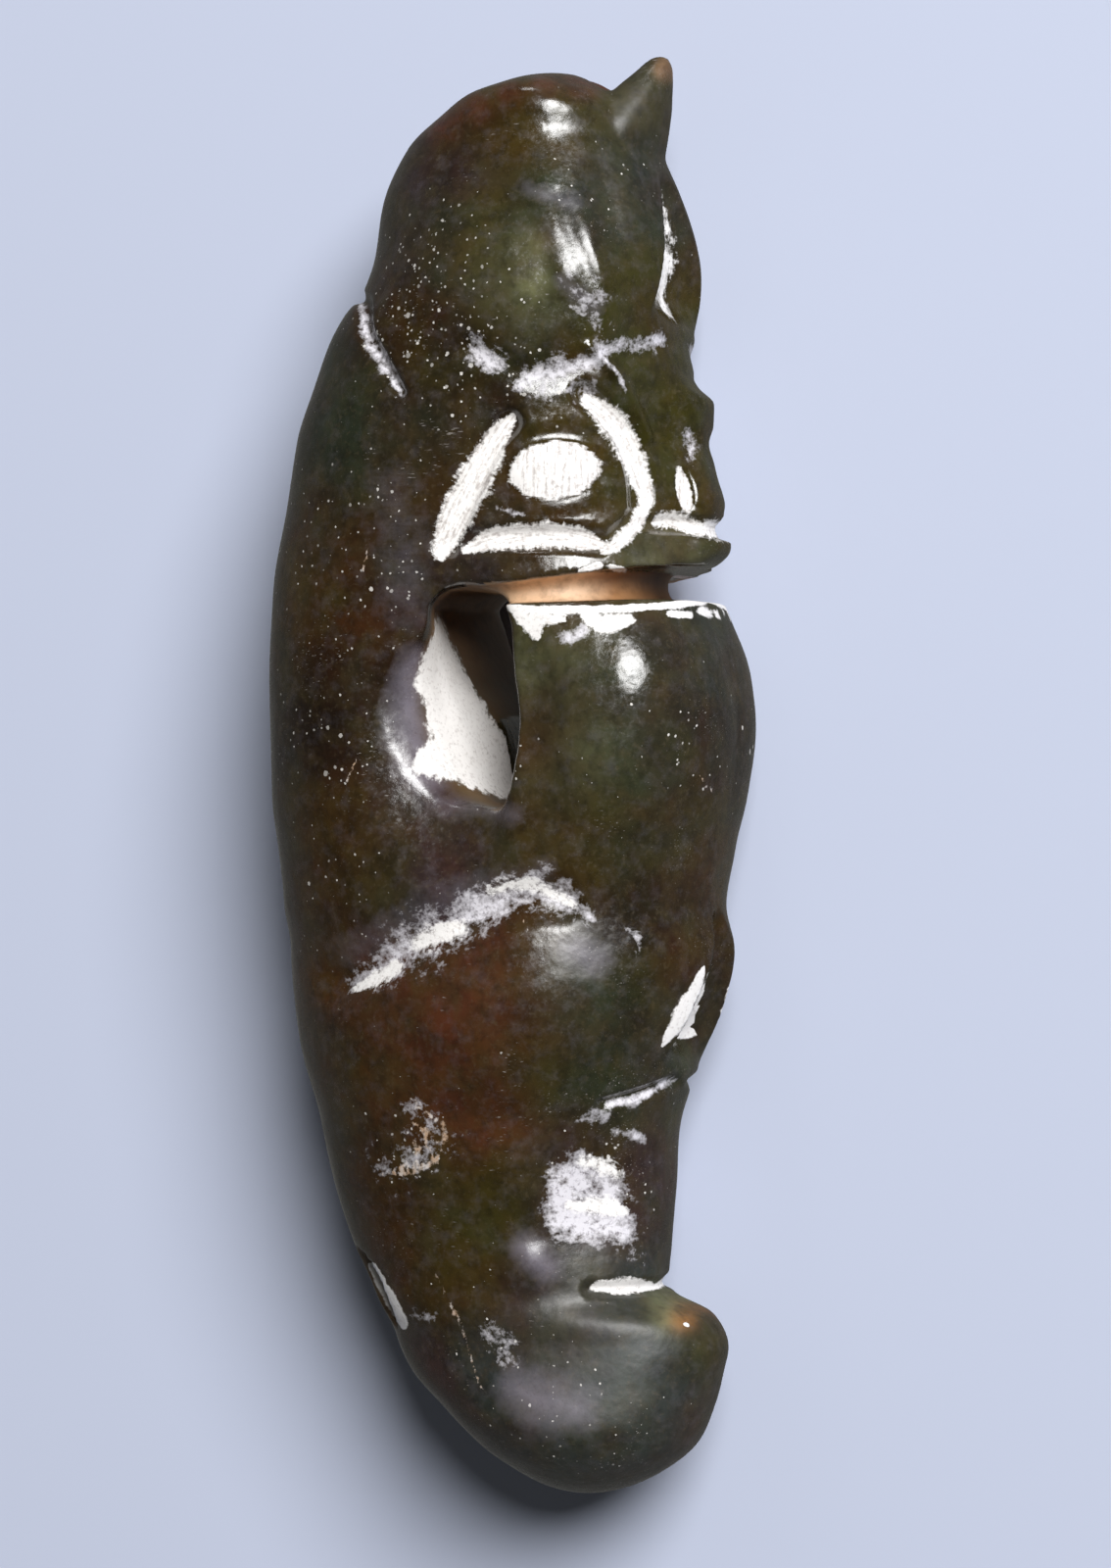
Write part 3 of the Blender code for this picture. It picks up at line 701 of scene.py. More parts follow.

# %% [markdown]
# ### Fewer triangles where little shows
#
# A piece this fine has to stay under 200,000 triangles. The skin is thinned to under 200,000
# triangles, most on the far flank, a little on the near one, and not at all on the face and around
# the eye of the coil, where the deposits need close points. Each of the skin's faces has four
# sides, so it is two triangles.

# %% Thin the skin
MOST_TRIANGLES = 195000
PLAIN_COUNTS = 40.0
FACE_BOX = (-6.0, 20.0, 59.0, 82.0)
COIL_EYE_BOX = (-8.0, 4.0, 46.0, 64.0)
FAR, NEAR = 1.0, 0.15

fine = np.zeros(len(places), bool)
for left, to_right, foot, top in (FACE_BOX, COIL_EYE_BOX):
    fine |= ((places > (left, foot)) & (places < (to_right, top))).all(axis=1)
far = points[:, 2] < -1 * MM
group = stone.vertex_groups.new(name="plain")
for chosen, weight in ((far, FAR), (~far & ~fine, NEAR)):
    group.add(np.flatnonzero(chosen).tolist(), weight, "REPLACE")
thinned = stone.modifiers.new("thinned", "DECIMATE")
thinned.use_collapse_triangulate = True
thinned.ratio = min(0.99, MOST_TRIANGLES / (2 * len(stone.data.polygons)))
thinned.vertex_group = "plain"
thinned.vertex_group_factor = PLAIN_COUNTS
settled(stone)
print(len(stone.data.polygons), "triangles now")

# %% [markdown]
# ## Lay the stone down
#
# The amulet lies on its far flank, where a little flat is worn. The points under the flat's level
# are lifted to it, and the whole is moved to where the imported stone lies.

# %% Rest on the flank
points = points_of(stone.data)
level = points[:, 2].min() + REST_FLAT_DEPTH
points[:, 2] = np.maximum(points[:, 2], level)
cad_low, cad_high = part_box("pig_dragon_amulet")
low, high = points.min(axis=0), points.max(axis=0)
laid = (np.array(cad_low) + np.array(cad_high)) / 2 - (low + high) / 2
laid[2] = cad_low.z - level
put_points(stone.data, points + laid)
stone.data.shade_smooth()
bm = bmesh.new()
bm.from_mesh(stone.data)
bmesh.ops.recalc_face_normals(bm, faces=bm.faces)
bm.to_mesh(stone.data)
bm.free()
print("laid by", [round(1000 * way, 2) for way in laid], "mm")

# %% [markdown]
# ## Where the deposits lie
#
# The pale deposits follow the hollows, but not evenly: each has its own width and thickness. So
# they are set out on the drawing too, as routes with a half width, and stored on the points as a
# coverage that is high in the middle of a deposit, 0 at its edge and negative outside. The
# material breaks that soft field up with a fine noise, which gives ragged edges much finer than
# the mesh.

# %% Deposits that fill a hollow, and two painted highlights: points of the route with the half width there, and strength
CREAM_AND_HIGHLIGHT = (
    (((0.2, 75.1, 0.3), (-0.9, 73.6, 0.90), (-2.1, 71.3, 1.30), (-3.3, 69.0, 1.30),
      (-4.4, 66.6, 1.00), (-4.9, 65.3, 0.5)), 0.9),
    (((-3.2, 65.7, 0.25), (-2.0, 66.2, 0.65), (-0.6, 66.6, 1.0), (1.4, 66.8, 1.05),
      (3.8, 66.7, 0.95), (5.4, 66.4, 0.75), (6.5, 66.0, 0.25)), 0.95),
    # Down the side of the snout: deposit, widened into a painted highlight where the groove's side
    # catches the lamp
    (((5.4, 76.2, 0.5), (6.8, 75.2, 1.0), (7.9, 73.8, 1.1), (8.7, 72.0, 0.9),
      (9.2, 70.4, 0.8), (9.6, 69.0, 0.5)), 0.8),
    (((9.5, 69.0, 0.5), (8.8, 67.5, 0.6), (7.7, 66.3, 0.6), (6.6, 65.7, 0.35)), 0.7),
    (((10.2, 67.7, 0.35), (11.2, 67.9, 0.75), (12.6, 67.4, 0.55), (14.2, 67.2, 0.75),
      (15.6, 66.8, 0.4)), 0.7),
    # Along the lower lip of the saw cut: deposit, and a painted highlight on the lip's upward face
    (((-0.6, 61.8, 0.15), (1.0, 61.6, 0.32), (6.8, 61.6, 0.30), (12.3, 62.0, 0.3),
      (14.3, 62.4, 0.25)), 1.0),
    (((0.5, 61.2, 0.35), (1.6, 60.5, 0.75), (1.9, 59.7, 0.35)), 0.9),
    (((1.6, 60.9, 0.6), (3.8, 60.9, 0.25)), 0.8),
    (((5.2, 61.2, 0.35), (6.6, 60.6, 0.8), (8.4, 60.9, 0.4)), 0.9),
    (((11.2, 61.3, 0.25), (12.6, 61.2, 0.3)), 0.8),
    (((13.4, 61.5, 0.3), (14.0, 61.3, 0.35)), 0.6),
    (((4.9, 64.3, 0.15), (6.3, 64.7, 0.35)), 0.7),
    (((7.0, 64.6, 0.2), (7.9, 64.3, 0.3)), 0.8),
    (((5.9, 14.1, 0.3), (7.0, 14.1, 0.6), (8.8, 14.2, 0.6), (10.4, 14.1, 0.2)), 0.7),
    (((4.2, 19.8, 0.4), (6.2, 19.8, 0.75), (8.0, 19.5, 0.5)), 0.5),
    (((5.0, 22.9, 0.4), (6.4, 22.6, 0.7), (7.6, 22.0, 0.4)), 0.3),
    (((-10.8, 35.0, 0.3), (-9.4, 35.7, 0.6), (-7.9, 36.6, 0.5)), 0.5),
    (((-6.4, 38.2, 0.7), (-5.0, 38.8, 1.0), (-3.4, 39.3, 0.6)), 0.45),
    (((-1.4, 41.9, 0.4), (0.6, 42.3, 0.6), (2.6, 41.9, 0.5), (4.6, 40.8, 0.3)), 0.3),
    (((-9.7, 15.6, 0.3), (-8.7, 13.8, 0.45), (-7.8, 12.2, 0.45), (-7.4, 11.4, 0.3)), 1.0),
    (((12.3, 11.5, 0.16), (12.5, 11.4, 0.12)), 0.7),
    (((10.7, 31.0, 0.12), (11.6, 32.4, 0.55), (12.6, 34.2, 0.60), (13.3, 35.6, 0.40),
      (13.6, 36.5, 0.12)), 0.9),
)
CREAM_OVALS = (
    (PUPIL, 1.6),
    (((12.2, 69.9), 0.55, 1.7, 12), 0.9),
)
# Beside the groove between the ears: top and foot, distance from the middle, half width, strength
FRONT_CREAM = (
    (90.2, 81.4, 0.4, 1.3, 0.36),
)
print(len(CREAM_AND_HIGHLIGHT) + len(CREAM_OVALS) + len(FRONT_CREAM), "deposits of cream")

# %% [markdown]
# ### Frost, veil and painted sheen
#
# Around the solid deposits lies a broken frost, and a thin veil dulls whole hollows. The veil also
# paints the soft sheen around highlights: a painted highlight beside the coil's eye, on the haunch,
# on the bump over the ankle, on the foot and over the ear's dome. Two places, the shin and the near
# wall of the coil's eye, are too broad for a route and are set out as outlines.

# %% Frost, veil and painted sheen, and the outlines of the broad patches
FROST_AND_GLINT = (
    (((-10.9, 35.2, 0.6), (-8.6, 36.8, 1.4), (-6.3, 38.4, 2.0), (-3.4, 39.8, 1.9),
      (-1.4, 41.0, 1.6), (1.6, 41.9, 1.6), (3.6, 41.4, 1.2), (5.6, 40.0, 0.5)), 0.55),
    (((6.9, 26.9, 0.3), (8.4, 27.2, 0.5), (9.6, 27.6, 0.4)), 0.8),
    (((9.8, 27.9, 0.3), (11.4, 28.6, 0.35)), 0.5),
    (((5.2, 25.9, 0.5), (6.6, 26.1, 0.5)), 0.5),
    (((7.4, 25.1, 0.4), (9.4, 24.6, 0.4)), 0.4),
    (((-10.4, 83.0, 0.3), (-10.0, 80.8, 0.6), (-8.9, 78.8, 0.6), (-7.5, 76.6, 0.2)), 0.6),
    (((-2.3, 79.8, 1.0), (-1.2, 79.0, 1.1)), 0.65),
    (((0.6, 77.4, 0.6), (2.8, 78.3, 1.2), (4.3, 78.6, 0.8), (6.0, 78.9, 0.6)), 0.6),
    (((2.4, 77.2, 0.7), (5.4, 76.8, 0.7)), 0.22),
    # Painted highlight: a thin glint along the ridge over the snout
    (((5.9, 79.6, 0.16), (6.9, 78.9, 0.2), (7.6, 78.0, 0.2), (8.2, 76.8, 0.12)), 0.6),
    (((6.4, 79.8, 0.8), (7.7, 80.2, 0.7)), 0.6),
    (((8.8, 80.0, 0.7), (10.3, 80.4, 0.7)), 0.6),
    (((-1.2, 68.9, 0.2), (-0.2, 68.5, 0.25), (1.0, 68.2, 0.2)), 0.4),
    (((-1.5, 10.9, 0.7), (-0.5, 9.9, 1.0)), 0.32),
    (((-6.4, 12.2, 0.4), (-5.2, 12.0, 0.4)), 0.3),
    (((4.0, 84.4, 0.7), (6.2, 82.6, 0.8)), 0.12),
    (((4.0, 59.6, 0.6), (5.2, 60.2, 0.5)), 0.5),
    (((7.9, 39.4, 0.2), (8.7, 39.0, 0.3), (9.1, 38.0, 0.3), (8.8, 37.4, 0.2)), 0.40),
    (((12.5, 74.1, 0.3), (12.7, 73.2, 0.5), (12.7, 72.3, 0.3)), 0.42),
    (((-8.6, 22.3, 0.9), (-5.6, 24.0, 1.1), (-6.6, 26.4, 0.7)), 0.16),
)
SHIN_PATCH = (
    (4.8, 24.0), (6.3, 23.4), (8.2, 22.0), (8.7, 20.0), (9.2, 17.8), (9.0, 15.9), (7.9, 16.5),
    (5.5, 17.0), (3.1, 16.9), (2.3, 18.6), (2.2, 20.3), (2.5, 22.2), (3.7, 23.3),
)
HOLE_WALL = (
    (-5.1, 61.8), (-3.6, 58.6), (-2.2, 56.1), (-1.2, 54.0), (0.2, 52.0), (0.9, 50.2), (0.6, 48.0),
    (-1.6, 48.6), (-4.0, 49.4), (-6.8, 50.0), (-7.0, 51.2), (-5.7, 52.6), (-6.2, 54.8),
    (-6.8, 56.8), (-5.6, 59.6),
)
VEIL_AND_SHEEN = (
    # Beside the coil's eye: a thin deposit haze, and a painted soft highlight on the funnel's
    # shoulder
    (((-6.6, 58.0, 1.6), (-6.8, 54.0, 2.8), (-5.8, 50.4, 2.6)), 0.75),
    (((-5.2, 48.2, 1.4), (0.0, 47.2, 1.2)), 0.25),
    (((-11.4, 37.8, 1.6), (-8.4, 38.8, 2.0), (-4.0, 41.2, 2.2), (2.0, 42.8, 1.8)), 0.22),
    # Painted highlight: a soft glow on the haunch
    (((4.6, 37.8, 1.5), (6.0, 36.9, 1.6)), 0.45),
    # Painted highlight: a halo around the light on the bump over the ankle
    (((1.0, 16.8, 1.4), (2.6, 15.4, 1.5)), 0.6),
    # Painted sheen: a broad soft highlight over the foot
    (((0.6, 6.9, 2.2), (2.6, 6.0, 3.0), (4.6, 5.6, 2.4)), 0.60),
    # Painted sheen: a glossy haze over the ear's dome
    (((1.4, 91.0, 0.8), (4.2, 90.2, 1.0)), 0.3),
    (((3.6, 84.6, 0.9), (6.0, 82.8, 1.1)), 0.3),
    (((-8.4, 70.0, 2.5), (-7.0, 62.0, 2.5)), 0.15),
)
print(len(FROST_AND_GLINT), "rows of frost and", len(VEIL_AND_SHEEN), "of veil")

# %% [markdown]
# ### Deep scratches
#
# A few scratches are deep enough to hold earth, and most of them lie together on the haunch. They
# are routes too, a fifth to half a millimetre wide.

# %% Deep scratches: points of the route with the half width there, and strength
SCRATCHES = (
    (((-7.5, 26.8, 0.12), (-6.2, 26.5, 0.22), (-5.2, 25.8, 0.15)), 0.9),
    (((-4.9, 26.0, 0.12), (-4.5, 24.8, 0.25), (-4.8, 23.8, 0.22)), 0.9),
    (((-4.6, 23.4, 0.15), (-6.0, 22.5, 0.30), (-7.4, 22.1, 0.22), (-9.2, 22.1, 0.12)), 1.0),
    (((-8.2, 21.8, 0.15), (-7.4, 22.6, 0.20), (-6.4, 22.9, 0.15)), 0.9),
    (((-6.8, 25.6, 0.12), (-5.8, 25.1, 0.16), (-5.0, 25.2, 0.12)), 0.8),
    (((-7.4, 25.2, 0.12), (-6.6, 24.4, 0.16), (-5.6, 24.6, 0.12)), 0.8),
    (((-6.8, 23.6, 0.12), (-5.8, 23.9, 0.18), (-5.2, 24.2, 0.12)), 0.8),
    (((-7.0, 27.4, 0.12), (-6.4, 27.0, 0.12)), 0.6),
    (((-5.2, 15.0, 0.10), (-4.3, 13.2, 0.10), (-3.9, 12.3, 0.20), (-3.5, 11.6, 0.12),
      (-2.3, 7.8, 0.10), (-1.9, 6.9, 0.10)), 0.6),
    (((-11.5, 49.4, 0.10), (-10.7, 51.2, 0.10)), 0.9),
    (((12.6, 49.2, 0.10), (14.2, 49.0, 0.10)), 0.6),
    (((13.0, 50.2, 0.10), (14.4, 48.6, 0.10)), 0.6),
    (((-10.4, 64.0, 0.10), (-9.9, 66.0, 0.10)), 0.8),
    (((1.4, 38.9, 0.10), (0.9, 39.9, 0.10)), 0.6),
)
print(len(SCRATCHES), "scratches on the drawing")

# %% [markdown]
# ### How near a point is to a deposit
#
# A route's piece covers a point by how near it is, against the half width there, which runs evenly
# from one end of the piece to the other. An outline covers a point by how deep inside it lies.

# %% Covering the points
def coverage(places, rows):
    """The strongest of the rows at each place, and how far along and across its route that is."""
    best = np.full(len(places), -1.0)
    flow = np.zeros((len(places), 2))
    for points, strength in rows:
        route = bent(points)
        ran = 0.0
        for start, end in zip(route, route[1:]):
            along = end[:2] - start[:2]
            length = math.hypot(*along)
            offset = places - start[:2]
            share = offset @ along / length**2
            across = (offset[:, 1] * along[0] - offset[:, 0] * along[1]) / length
            share_in = np.clip(share, 0.0, 1.0)
            gap = np.hypot(across, (share - share_in) * length)
            half_width = start[2] + share_in * (end[2] - start[2])
            covered = strength * (1 - gap / half_width)
            better = covered > best
            best = np.where(better, covered, best)
            flow[better] = np.stack((ran + share_in * length, across), axis=1)[better]
            ran += length
    return best, flow


def inside(places, outline):
    """Distance in mm from the outline, positive inside it."""
    ring = np.array([*outline, outline[0]])
    within = np.zeros(len(places), bool)
    for (x0, y0), (x1, y1) in zip(ring, ring[1:]):
        spans = (places[:, 1] > y0) != (places[:, 1] > y1)
        at = x0 + (places[:, 1] - y0) / (y1 - y0 + 1e-12) * (x1 - x0)
        within ^= spans & (places[:, 0] < at)
    return np.where(within, 1, -1) * distance_to(ring, places)


# %% [markdown]
# ### From the drawing to the points
#
# Each point takes the strongest deposit that reaches it, and remembers how far along and across
# that deposit it lies, for hairs and ribs that follow the hollow. A point that faces well away
# from the drawing has none.

# %% Put the deposits, and the highlights painted with them, on the points
FACING = -0.15
# How strong the shin's patch is, and over how many mm patches and the ends of rows thin out
SHIN_STRENGTH = 0.60
PATCH_EDGE = 1.2
END_TAPER = 1.5
# The face, where deposits are ribbed: the heights in mm over which it starts and ends
FACE_START = (63.5, 64.5)
FACE_END = (76.5, 78.5)

points = points_of(stone.data) - laid
normals = normals_of(stone.data)
places = on_drawing(points)
near = points[:, 2] > 0
sideways = normals[:, 2] * np.sign(points[:, 2])
towards = math.sin(SIGHT_TURN) * normals[:, 0] + math.cos(SIGHT_TURN) * sideways

cream_and_highlight, flow = coverage(places, CREAM_AND_HIGHLIGHT)
for oval, strength in CREAM_OVALS:
    covered = strength * (1 - from_oval(places, oval) ** 2)
    better = covered > cream_and_highlight
    cream_and_highlight = np.where(better, covered, cream_and_highlight)
    flow[better] = places[better][:, ::-1]
forward = smooth_step(0.1, 0.5, normals[:, 0]) * (points[:, 0] > 6 * MM)
for top, foot, aside, half_width, strength in FRONT_CREAM:
    y = points[:, 1] / MM
    ends = np.minimum(top - y, y - foot) / END_TAPER
    slim = np.sin(np.pi * np.clip((y - foot) / (top - foot), 0.05, 0.95)) ** 0.7
    gap = np.abs(np.abs(points[:, 2]) / MM - aside) / (half_width * slim)
    covered = strength * np.where(gap < 1, np.minimum(1 - gap, ends), 1 - gap)
    better = (covered > cream_and_highlight) & (forward > 0.5)
    cream_and_highlight = np.where(better, covered, cream_and_highlight)
    flow[better] = points[better][:, 1:] / MM
on_wall = np.where(near & (normals[:, 0] > 0.1), inside(places, HOLE_WALL) / PATCH_EDGE, -1)
better = on_wall > cream_and_highlight
cream_and_highlight = np.where(better, np.clip(on_wall, -1, 1), cream_and_highlight)
flow[better] = places[better][:, ::-1]
face = smooth_step(*FACE_START, places[:, 1]) * (1 - smooth_step(*FACE_END, places[:, 1]))
cream_and_highlight = np.where(towards > FACING, cream_and_highlight, -1.0)
frost_and_glint, along_frost_and_glint = coverage(places, FROST_AND_GLINT)
on_shin = SHIN_STRENGTH * np.clip(inside(places, SHIN_PATCH) / PATCH_EDGE, -1, 1)
along_frost_and_glint = np.where((on_shin > frost_and_glint)[:, None], places, along_frost_and_glint)
frost_and_glint = np.where(towards > FACING, np.maximum(frost_and_glint, on_shin), -1.0)
flow = np.where((frost_and_glint > cream_and_highlight)[:, None], along_frost_and_glint, flow)
veil_and_sheen = coverage(places, VEIL_AND_SHEEN)[0].clip(0) * smooth_step(0.0, 0.3, towards)
scratch = np.where(near, coverage(places, SCRATCHES)[0], -1.0)
print("cream covers", round(100 * (cream_and_highlight > 0).mean(), 1), "% of the points")

# %% [markdown]
# ### Where the stone is bare
#
# No polish reaches the floor of the saw cut or the walls of the bores. The floor is found by its
# depth under the outline of the sections, the wall of the coil's eye by facing the upright line in
# its middle, and the wall of the cord hole by its distance from the ring that cut it. A bore's wall
# is bare up to where its funnel was polished with the flank.

# %% Put the bare places on the points
# The wall's polish starts between these heights over the middle plane, as shares of the half
# thickness. It starts farther out on the far flank, and on the steep back wall of the eye.
BARE_END = (0.60, 0.80)
FAR_SHARE = 0.75
STEEP_SHARE = 0.2

height, half = cut_height(points[:, 0])
middle, half_depth, half_thickness, square = section(points[:, 1] / LENGTH)
half_depth, half_thickness = np.maximum((half_depth, half_thickness), 0.1 * MM)
reach = (np.abs(points[:, 0] - middle) / half_depth) ** square
reach += (np.abs(points[:, 2]) / half_thickness) ** square
depth = (1 - reach ** (1 / square)) * half_thickness / MM
in_cut = (np.abs(points[:, 1] - height) < half + 0.1 * MM) & (points[:, 0] > cut_start[0] - 1 * MM)
raw = np.where(in_cut, smooth_step(0.2, 0.7, depth), 0.0)

eye_middle = np.array((EYE_PLACE[0] * DEPTH, EYE_PLACE[1] * LENGTH))
core = np.tile(eye_middle, (len(points), 1))
core[:, 1] += np.clip(points[:, 1] - eye_middle[1], -EYE_HEIGHT / 3, EYE_HEIGHT / 3)
inward = (core - points[:, :2]) / np.linalg.norm(core - points[:, :2], axis=1)[:, None]
inward = (inward * normals[:, :2]).sum(axis=1)
around_eye = np.hypot(*((points[:, :2] - eye_middle) / (EYE_WIDTH, EYE_HEIGHT)).T)
drilled = smooth_step(0.1, 0.5, inward) * (around_eye < 0.75) * (1 - raw)
outwards = points[:, 2] / (0.5 * THICKNESS)
steep = (normals[:, 0] < 0) & (normals[:, 2] < 0.5)
outwards = np.where(outwards > 0, outwards - STEEP_SHARE * steep, -FAR_SHARE * outwards)
drilled *= 1 - smooth_step(*BARE_END, outwards)

off_ring = points - cord_hole_middle
off_ring = np.hypot(
    (np.hypot(off_ring[:, 0], off_ring[:, 2]) - CORD_HOLE_BEND) / (CORD_HOLE_WIDTH / 2),
    off_ring[:, 1] / (CORD_HOLE_HEIGHT / 2),
)
drilled = np.maximum(drilled, 1 - smooth_step(1.02, 1.12, off_ring))
bare_share = (np.maximum(raw, drilled) > 0.5).mean()
print("bare stone covers", round(100 * bare_share, 1), "% of the points")

# %% [markdown]
# ## The colours of the pebble
#
# River jade is seldom even. Its green turns brown and red where iron has crept in, and nearly
# black where it is dense. A few dozen soft spots of colour on the drawing, blended by their
# distance, set where each hue lies. A few of the spots are painted light instead of stone: a
# lighter, lit copy of the green on the chest, on the ear and on the jaw, and a mauve painted
# reflection along the heel. Finer clouds come later, in the material.

# %% Colour zones of the pebble and of painted light: place on the drawing, radius in mm and hue
HUES = {
    "brown": "#35240f",
    "dark": "#1c120a",
    "olive": "#33300f",
    "green": "#262c1f",
    "grey": "#272b24",
    # Plum is a hue of the stone; along the heel it also paints a mauve reflection
    "plum_and_reflected_mauve": "#302525",
    "rust": "#4f2a19",
    "edge": "#5a2f26",
    "horn": "#3c3822",
    "foot": "#2f3431",
    # A lighter, lit copy of the green: painted light
    "lit_green_painted_light": "#515138",
    "moss": "#86865e",
    "amber": "#ae6c2c",
    "tip": "#b48a6c",
}
ZONES = (
    ((-6.1, 90.3), 4, "plum_and_reflected_mauve"),
    ((-4.6, 95.4), 0.9, "edge"),
    ((-2.4, 96.6), 0.9, "edge"),
    ((0.0, 97.6), 0.9, "edge"),
    ((2.4, 98.3), 0.9, "edge"),
    ((4.8, 98.5), 0.9, "edge"),
    ((1.4, 96.4), 3, "olive"),
    ((-2.0, 87.6), 3, "olive"),
    # Painted light: the lit green on the ear
    ((-0.6, 85.6), 3, "lit_green_painted_light"),
    ((3.5, 88.0), 3, "green"),
    ((8.9, 90.3), 3, "grey"),
    ((9.5, 83.5), 3, "olive"),
    ((9.9, 97.8), 2, "horn"),
    ((10.9, 99.4), 0.6, "tip"),
    ((1.7, 87.0), 0.9, "moss"),
    ((1.6, 84.6), 0.8, "moss"),
    ((-5.0, 80.0), 4, "dark"),
    ((-9.2, 74.6), 4, "green"),
    ((-6.0, 71.0), 3, "brown"),
    ((9.0, 75.0), 4, "olive"),
    ((4.0, 64.0), 3, "brown"),
    ((-14.3, 63.0), 5, "brown"),
    ((-5.5, 63.5), 3, "plum_and_reflected_mauve"),
    ((-11.6, 54.8), 4, "dark"),
    # Painted light: the lit green on the chest
    ((3.2, 57.5), 3.5, "lit_green_painted_light"),
    ((5.8, 51.5), 3.5, "lit_green_painted_light"),
    ((8.8, 48.5), 4, "green"),
    ((9.5, 55.5), 4, "grey"),
    ((1.9, 53.4), 2.5, "brown"),
    ((4.4, 47.0), 3, "olive"),
    ((14.0, 52.0), 3, "dark"),
    ((13.9, 41.2), 3, "brown"),
    ((-6.1, 45.9), 4, "plum_and_reflected_mauve"),
    ((-12.0, 45.0), 4, "brown"),
    ((2.7, 43.9), 3, "brown"),
    ((-4.2, 29.4), 5, "rust"),
    ((-10.0, 30.6), 3, "brown"),
    ((6.1, 30.6), 4, "green"),
    ((1.4, 29.4), 2.5, "olive"),
    ((10.9, 39.1), 3, "dark"),
    # Painted light: the lit green on the jaw
    ((8.9, 64.7), 2, "lit_green_painted_light"),
    ((6.0, 22.0), 3, "plum_and_reflected_mauve"),
    ((-8.2, 20.0), 5, "brown"),
    ((-2.7, 18.6), 3, "olive"),
    ((2.0, 15.5), 2, "plum_and_reflected_mauve"),
    ((6.5, 7.0), 5, "foot"),
    ((2.5, 5.0), 4, "foot"),
    ((10.5, 9.0), 3, "foot"),
    ((12.9, 9.5), 1.5, "olive"),
    ((11.0, 12.2), 1.2, "moss"),
    ((12.0, 11.9), 0.85, "amber"),
    # Painted reflection: a mauve band along the bevel of the heel
    ((-6.6, 8.6), 1.2, "plum_and_reflected_mauve"),
    ((-5.2, 6.6), 1.2, "plum_and_reflected_mauve"),
    ((-3.8, 4.6), 1.2, "plum_and_reflected_mauve"),
    ((-2.4, 3.0), 1.2, "plum_and_reflected_mauve"),
)


def linear(hex_colour):
    """The linear colour of an sRGB hex value."""
    shares = [int(hex_colour[k : k + 2], 16) / 255 for k in (1, 3, 5)]
    return [s / 12.92 if s <= 0.04045 else ((s + 0.055) / 1.055) ** 2.4 for s in shares]


weight = np.full(len(places), 1e-6)
ground = np.outer(weight, linear(HUES["brown"]))
for (x, y), radius, hue in ZONES:
    share = np.exp(-(((places - (x, y)) / radius) ** 2).sum(axis=1))
    weight += share
    ground += np.outer(share, linear(HUES[hue]))
ground /= weight[:, None]
print(len(ZONES), "zones of", len(HUES), "hues")

# %% [markdown]
# ### Dust and dull places
#
# Pale specks crowd in some places and are rare in others, and some of the polish has gone dull.
# Both are set out like the hues: a few places on the drawing that fade by their distance.

# %% Dust and dull places: place on the drawing, radius in mm and share
DUST = (
    ((-5.0, 86.0), 4, 0.45),
    ((-5.0, 80.0), 4, 0.60),
    ((1.0, 78.0), 4, 0.40),
    ((6.0, 92.0), 4, 0.22),
    ((-10.0, 66.0), 6, 0.35),
    ((-13.0, 53.0), 4, 0.35),
    ((1.0, 50.0), 3, 0.25),
    ((12.0, 52.0), 4, 0.30),
    ((-11.0, 42.0), 4, 0.30),
    ((-7.0, 24.0), 3, 0.35),
    ((6.0, 22.0), 4, 0.35),
    ((-2.0, 12.0), 4, 0.25),
    ((4.0, 5.0), 5, 0.28),
)
DULL = (
    ((6.0, 9.0), 8, 1.0),
    ((5.3, 37.3), 3, 0.5),
    ((8.5, 91.5), 5, 0.4),
    ((8.6, 97.2), 2.2, 1.0),
)


def spread(places, rows, ground):
    """The rows' shares, each fading from its place by its radius, over an even ground."""
    level = np.full(len(places), ground)
    for place, radius, share in rows:
        level += (share - ground) * np.exp(-(((places - place) / radius) ** 2).sum(axis=1))
    return level


dust = spread(places, DUST, 0.10)
dull = spread(places, DULL, 0.0)
print("the mean of the dust is", round(dust.mean(), 2), "and of the dull", round(dull.mean(), 2))

# %% [markdown]
# ### Fields that the material reads
#
# An attribute carries a value from each point to the material. Single numbers and vectors are
# stored apart.

# %% Store the fields on the points
FIELDS = {
    "cream_and_highlight": cream_and_highlight, "frost_and_glint": frost_and_glint, "veil_and_sheen": veil_and_sheen, "scratch": scratch, "raw": raw,
    "drilled": drilled, "dust": dust, "dull": dull,
}
for name, field in FIELDS.items():
    stored = stone.data.attributes.new(name, "FLOAT", "POINT")
    stored.data.foreach_set("value", field.astype(np.float32))
VECTORS = {
    "ground": ground,
    "drawing": np.stack((places[:, 0], places[:, 1], points[:, 2] / MM), axis=1),
    "flow": np.stack((flow[:, 0], flow[:, 1], face), axis=1),
}
for name, field in VECTORS.items():
    stored = stone.data.attributes.new(name, "FLOAT_VECTOR", "POINT")
    stored.data.foreach_set("vector", field.astype(np.float32).ravel())
print("stored", [*FIELDS, *VECTORS])

# %% [markdown]
# ## The jade
#
# Nephrite jade is a felt of fine fibres that takes a waxy polish. Old work is dark, almost black,
# with clouds of green, olive and red-brown, a dust of pale specks, and a web of fine scratches
# that blurs each highlight. All patterns are set in millimetres on the object's own coordinates.

# %% One helper that adds a node
def add(tree, kind, links, **settings):
    """Adds a node with its settings. A link is from a socket, or is a plain value."""
    made = tree.nodes.new("ShaderNode" + kind)
    for name, value in settings.items():
        setattr(made, name, value)
    for socket, value in links.items():
        if isinstance(value, bpy.types.NodeSocket):
            tree.links.new(value, made.inputs[socket])
        else:
            made.inputs[socket].default_value = value
    return next(socket for socket in made.outputs if socket.enabled)


def per(size):
    """A texture scale with one feature in so many millimetres."""
    return 1 / (size * MM)


